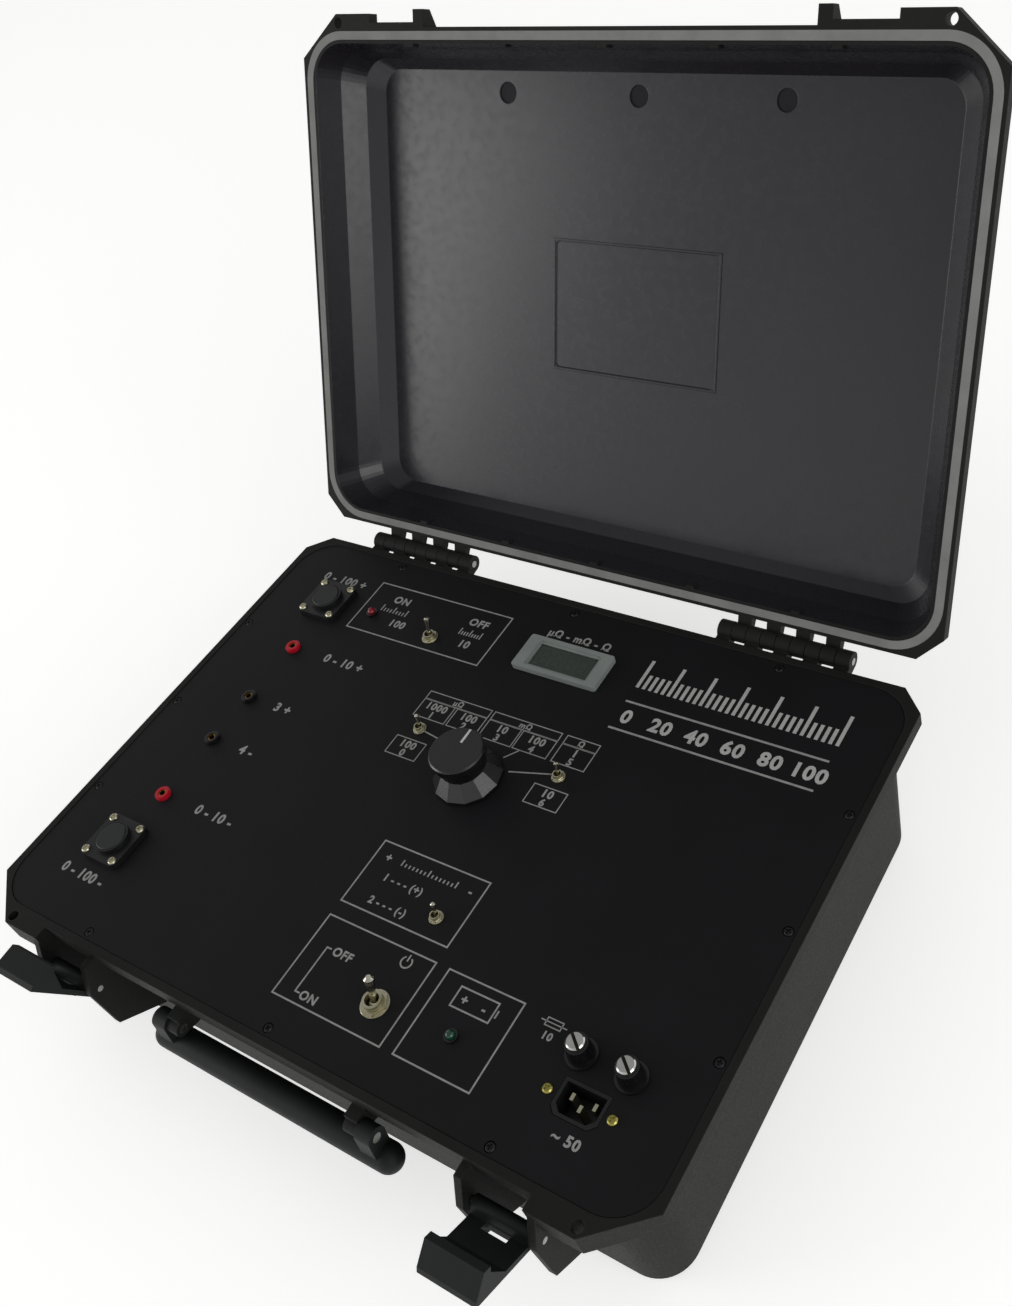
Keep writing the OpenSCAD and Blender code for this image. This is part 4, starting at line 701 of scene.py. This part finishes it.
class OHMMETER_OT_toggles(bpy.types.Operator):
    """Finishes the toggle switches"""
    bl_idname = "ohmmeter.toggles"
    bl_label = "Toggle switches"

    def execute(self, context):
        # Steel, chrome plated: bright, mirrors dark and pale in bands; its warm tint is the room's light,
        # painted into its colour.
        chrome = finish("chrome plated steel", ("d6d2bf", "dedac8"), (0.12, 0.2), blotch_mm=8,
                        grain_mm=1.0, depth_mm=0.003, sockets={"Metallic": 1.0})
        # Phenolic resin, moulded: the switch bodies under the panel, each maker's colour as usual.
        colours = {"power_switch_body": ("2a2420", "332c27"), "current_switch_body": ("6f1d1d", "7a2424"),
                   "small_switch_bodies": ("1d3f7a", "234786")}
        for node, pair in colours.items():
            resin = finish("moulded resin of " + node, pair, (0.4, 0.55), sockets={"IOR": 1.55})
            dress(node, resin, bpy.data.materials["tumbled nickel plate"],
                  inside=lambda face: face.center.z > (PANEL_TOP - SWITCH_FRAME_LOW) * MM)
        for node in ("power_switch_nut", "current_switch_nut", "small_switch_nuts"):
            dress(node, bpy.data.materials["tumbled nickel plate"])
            round_edges(node, 0.2)
        for node in ("power_switch_lever", "current_switch_lever", "left_range_lever",
                     "right_range_lever", "polarity_lever"):
            dress(node, chrome)
        return {"FINISHED"}


class OHMMETER_OT_lamps(bpy.types.Operator):
    """Finishes the red and the green lamp"""
    bl_idname = "ohmmeter.lamps"
    bl_label = "Indicator lamps"

    def execute(self, context):
        # Epoxy resin, cast and tinted: glossy, with the colour deep inside; unlit.
        red = finish("cast red epoxy", ("8c0c20", "960f24"), (0.12, 0.2), depth_mm=0.001,
                     sockets={"IOR": 1.53, "Transmission Weight": 0.25, "Coat Weight": 0.3})
        green = finish("cast green epoxy", ("0d4a34", "10523a"), (0.12, 0.2), depth_mm=0.001,
                       sockets={"IOR": 1.53, "Transmission Weight": 0.25, "Coat Weight": 0.3})
        dress("red_led", red)
        dress("green_led", green)
        dress("led_holders", bpy.data.materials["moulded glossy black polyamide"])
        return {"FINISHED"}


class OHMMETER_OT_fuses(bpy.types.Operator):
    """Finishes the fuse holders with their caps and fuses"""
    bl_idname = "ohmmeter.fuses"
    bl_label = "Fuse holders"

    def execute(self, context):
        # Brass, bright nickel plated: a clean mirror, a little soft.
        plated = finish("bright nickel plate", ("c9cac5", "d4d5d0"), (0.14, 0.24), blotch_mm=5,
                        grain_mm=0.6, depth_mm=0.003, sockets={"Metallic": 1.0})
        # Glass tube with metal ends, inside the holders.
        glass = finish("drawn glass", ("dfe4e2", "e6eae8"), (0.05, 0.1),
                       sockets={"IOR": 1.5, "Transmission Weight": 0.9})
        dress("fuse_holders", bpy.data.materials["moulded glossy black polyamide"])
        # The slot's cut faces are dark, dull brass: painted shade inside the slot.
        slot_shade_brass = finish("brass darkened as painted slot shade", ("2c261b", "3a3325"), (0.5, 0.65), blotch_mm=2, grain_mm=0.5,
                      depth_mm=0.01, sockets={"Metallic": 0.7})
        for node in ("fuse_cap_left", "fuse_cap_right"):
            low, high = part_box(node)
            axis = (low + high) / 2

            def in_slot(face):
                """True for a cut face of the cap's slot."""
                reach = math.hypot(face.center.x - axis.x, face.center.y - axis.y)
                depth = high.z - face.center.z
                return SLOT_START * MM < depth < SLOT_END * MM and reach < SLOT_REACH * MM

            # The slot's cut faces take the dark brass that paints the shade in the slot.
            dress(node, plated, slot_shade_brass, inside=in_slot)
        dress("fuse_links", glass)
        return {"FINISHED"}


class OHMMETER_OT_inlet(bpy.types.Operator):
    """Finishes the mains inlet with its pins and screws"""
    bl_idname = "ohmmeter.inlet"
    bl_label = "Mains inlet"

    def execute(self, context):
        # Steel, zinc plated and yellow passivated: pale brassy metal with patches of faint colour.
        zinc = finish("yellow zinc plated steel", ("b5ad62", "a9a257"), (0.25, 0.42), blotch_mm=2.5,
                      grain_mm=0.5, depth_mm=0.004, sockets={"Metallic": 1.0})
        dress("inlet_body", bpy.data.materials["moulded socket polyamide"])
        dress("inlet_pins", bpy.data.materials["tumbled nickel plate"])
        dress("inlet_screws", zinc)
        carve("inlet_screws", crosses("inlet_screw_cutter", screw_places("inlet_screws"),
                                      CROSS_LENGTH, CROSS_WIDTH, SMALL_CROSS_DEPTH))
        return {"FINISHED"}


class OHMMETER_OT_inner_parts(bpy.types.Operator):
    """Finishes what stands inside the closed base"""
    bl_idname = "ohmmeter.inner_parts"
    bl_label = "Inner parts"

    def execute(self, context):
        # ABS battery case, moulded: dark grey, slightly glossy.
        battery = finish("moulded battery ABS", ("2f3237", "363a3f"), (0.35, 0.5), sockets={"IOR": 1.53})
        # Steel sheet, zinc plated and folded: pale bluish metal with faint flowers.
        zinc = finish("zinc plated steel sheet", ("9fa2a2", "b0b3b3"), (0.3, 0.45), blotch_mm=8,
                      sockets={"Metallic": 1.0})
        # Silicon steel, stacked in sheets: fine lines; the real 0.5 mm sheets are drawn twice as thick.
        core = finish("stacked silicon steel", ("4a4d51", "5d6064"), (0.4, 0.55), grain_mm=1.0, depth_mm=0.05,
                      stretch=(0.02, 1.0, 0.02), sockets={"Metallic": 0.8})
        # Copper wire wound under polyester tape: warm yellow, with the turns showing through.
        coil = finish("taped copper winding", ("a97c32", "c1913f"), (0.3, 0.45), grain_mm=1.2, depth_mm=0.08,
                      stretch=(0.05, 0.05, 1.0), sockets={"IOR": 1.55})
        # Glass epoxy board under green solder mask: glossy, with the weave faintly raised.
        board = finish("green masked epoxy board", ("185232", "1f6039"), (0.25, 0.4), grain_mm=0.9,
                       depth_mm=0.01, sockets={"IOR": 1.55})
        # Aluminium, extruded: pale with lines along the fins.
        sink = finish("extruded aluminium", ("8e9093", "a0a2a5"), (0.35, 0.5), grain_mm=0.8,
                      stretch=(1.0, 0.05, 1.0), sockets={"Metallic": 1.0})
        # Copper, rolled and brushed: warm metal with long scratches.
        copper = finish("brushed copper", ("a9582d", "bb6a3a"), (0.25, 0.4), grain_mm=0.8,
                        stretch=(0.05, 1.0, 1.0), sockets={"Metallic": 1.0})
        steel = bpy.data.materials["drawn stainless steel"]
        black = bpy.data.materials["moulded black ABS"]
        finishes = {"batteries": battery, "battery_bracket": zinc, "transformer_core": core,
                    "transformer_coil": coil, "charger_board": board, "measuring_board": board,
                    "board_standoffs": steel, "current_shunt": bpy.data.materials["turned brass"],
                    "heat_sink": sink, "power_transistors": black, "bus_bars": copper}
        for node, material in finishes.items():
            dress(node, material)
        return {"FINISHED"}


class OHMMETER_OT_stage(bpy.types.Operator):
    """Makes the camera, the pale floor, the room light and two soft lamps"""
    bl_idname = "ohmmeter.stage"
    bl_label = "Stage"

    def execute(self, context):
        stage = context.scene.ohmmeter_stage
        scene = context.scene
        camera = bpy.data.objects.new("camera", bpy.data.cameras.new("camera"))
        scene.collection.objects.link(camera)
        right = Vector((0.8302729, 0.5037868, -0.2384233))
        down = Vector((0.2126608, -0.6817566, -0.6999881))
        forward = Vector((-0.5151915, 0.5304779, -0.6731797))
        turn = Matrix((right, -down, -forward)).transposed()
        camera.matrix_world = Matrix.Translation(stage.camera_place) @ turn.to_4x4()
        camera.data.lens = stage.lens
        camera.data.sensor_width = 36.0
        camera.data.shift_x = -0.0665
        camera.data.shift_y = -0.0461
        camera.data.clip_start = 0.01
        scene.camera = camera
        scene.view_settings.view_transform = "Standard"

        mesh = bmesh.new()
        bmesh.ops.create_grid(mesh, x_segments=8, y_segments=8, size=FLOOR_HALF)
        data = bpy.data.meshes.new("floor")
        mesh.to_mesh(data)
        mesh.free()
        floor = bpy.data.objects.new("floor", data)
        floor.location.z = CAD_BOX[0].z - FLOOR_DROP
        scene.collection.objects.link(floor)
        # Paper sweep, matt: pale, and lifted to white only where it is seen, so that it keeps the shadow.
        paper = bpy.data.materials.new("matt paper sweep")
        paper.use_nodes = True
        tree = paper.node_tree
        shader = tree.nodes["Principled BSDF"]
        shader.inputs["Base Color"].default_value = stage.floor
        shader.inputs["Roughness"].default_value = 0.9
        lift = add_node(tree, "ShaderNodeMath", {0: seen_rays(tree), 1: FLOOR_GLOW},
                        operation="MULTIPLY").outputs[0]
        glow = add_node(tree, "ShaderNodeEmission",
                        {"Color": (1.0, 1.0, 1.0, 1.0), "Strength": lift}).outputs[0]
        both = add_node(tree, "ShaderNodeAddShader", {0: shader.outputs[0], 1: glow}).outputs[0]
        tree.links.new(both, tree.nodes["Material Output"].inputs["Surface"])
        floor.data.materials.append(paper)

        world = bpy.data.worlds.new("room")
        scene.world = world
        world.use_nodes = True
        tree = world.node_tree
        ground = tree.nodes["Background"]
        way = add_node(tree, "ShaderNodeTexCoord").outputs["Generated"]
        up = add_node(tree, "ShaderNodeSeparateXYZ", {0: way}).outputs["Z"]
        pale = add_node(tree, "ShaderNodeMapRange", {"Value": up, "From Min": 0.1, "From Max": 0.6,
                                                     "To Min": 1.0, "To Max": 0.35}).outputs[0]
        strength = add_node(tree, "ShaderNodeMix", {0: seen_rays(tree), 2: stage.sky, 3: pale},
                            data_type="FLOAT").outputs[0]
        ground.inputs["Color"].default_value = (1.0, 1.0, 1.0, 1.0)
        tree.links.new(strength, ground.inputs["Strength"])

        lamps = (("key", stage.key, KEY_WIDTH, KEY_PLACE), ("fill", stage.fill, FILL_WIDTH, FILL_PLACE))
        for name, power, width, place in lamps:
            lamp = bpy.data.objects.new(name, bpy.data.lights.new(name, "AREA"))
            lamp.data.energy = power
            lamp.data.size = width
            lamp.location = place
            way = Vector(LAMP_AIM) - Vector(place)
            lamp.rotation_euler = way.to_track_quat("-Z", "Y").to_euler()
            scene.collection.objects.link(lamp)
        return {"FINISHED"}


STEPS = (OHMMETER_OT_stage, OHMMETER_OT_case, OHMMETER_OT_latches, OHMMETER_OT_panel, OHMMETER_OT_legends,
         OHMMETER_OT_meter, OHMMETER_OT_sockets, OHMMETER_OT_range_knob, OHMMETER_OT_toggles,
         OHMMETER_OT_lamps, OHMMETER_OT_fuses, OHMMETER_OT_inlet, OHMMETER_OT_inner_parts)


class OHMMETER_PT_sidebar(bpy.types.Panel):
    """Lists the steps that dress the ohmmeter"""
    bl_idname = "OHMMETER_PT_sidebar"
    bl_label = "Micro ohmmeter"
    bl_space_type = "VIEW_3D"
    bl_region_type = "UI"
    bl_category = "Ohmmeter"

    def draw(self, context):
        scene = context.scene
        for group in (scene.ohmmeter_case, scene.ohmmeter_panel, scene.ohmmeter_stage):
            box = self.layout.box()
            for name in group.__annotations__:
                box.prop(group, name)
        for step in STEPS:
            self.layout.operator(step.bl_idname)


CLASSES = (CaseSettings, PanelSettings, StageSettings) + STEPS + (OHMMETER_PT_sidebar,)


def register():
    """Registers the classes and puts the settings on the scene."""
    for made in CLASSES:
        bpy.utils.register_class(made)
    bpy.types.Scene.ohmmeter_case = PointerProperty(type=CaseSettings)
    bpy.types.Scene.ohmmeter_panel = PointerProperty(type=PanelSettings)
    bpy.types.Scene.ohmmeter_stage = PointerProperty(type=StageSettings)


def unregister():
    """Takes the settings off the scene and unregisters the classes."""
    del bpy.types.Scene.ohmmeter_stage
    del bpy.types.Scene.ohmmeter_panel
    del bpy.types.Scene.ohmmeter_case
    for made in reversed(CLASSES):
        bpy.utils.unregister_class(made)


def main():
    """Runs every step."""
    register()
    bpy.ops.ohmmeter.stage()
    bpy.ops.ohmmeter.case()
    bpy.ops.ohmmeter.latches()
    bpy.ops.ohmmeter.panel()
    bpy.ops.ohmmeter.legends()
    bpy.ops.ohmmeter.meter()
    bpy.ops.ohmmeter.sockets()
    bpy.ops.ohmmeter.range_knob()
    bpy.ops.ohmmeter.toggles()
    bpy.ops.ohmmeter.lamps()
    bpy.ops.ohmmeter.fuses()
    bpy.ops.ohmmeter.inlet()
    bpy.ops.ohmmeter.inner_parts()


if __name__ == "__main__":
    main()
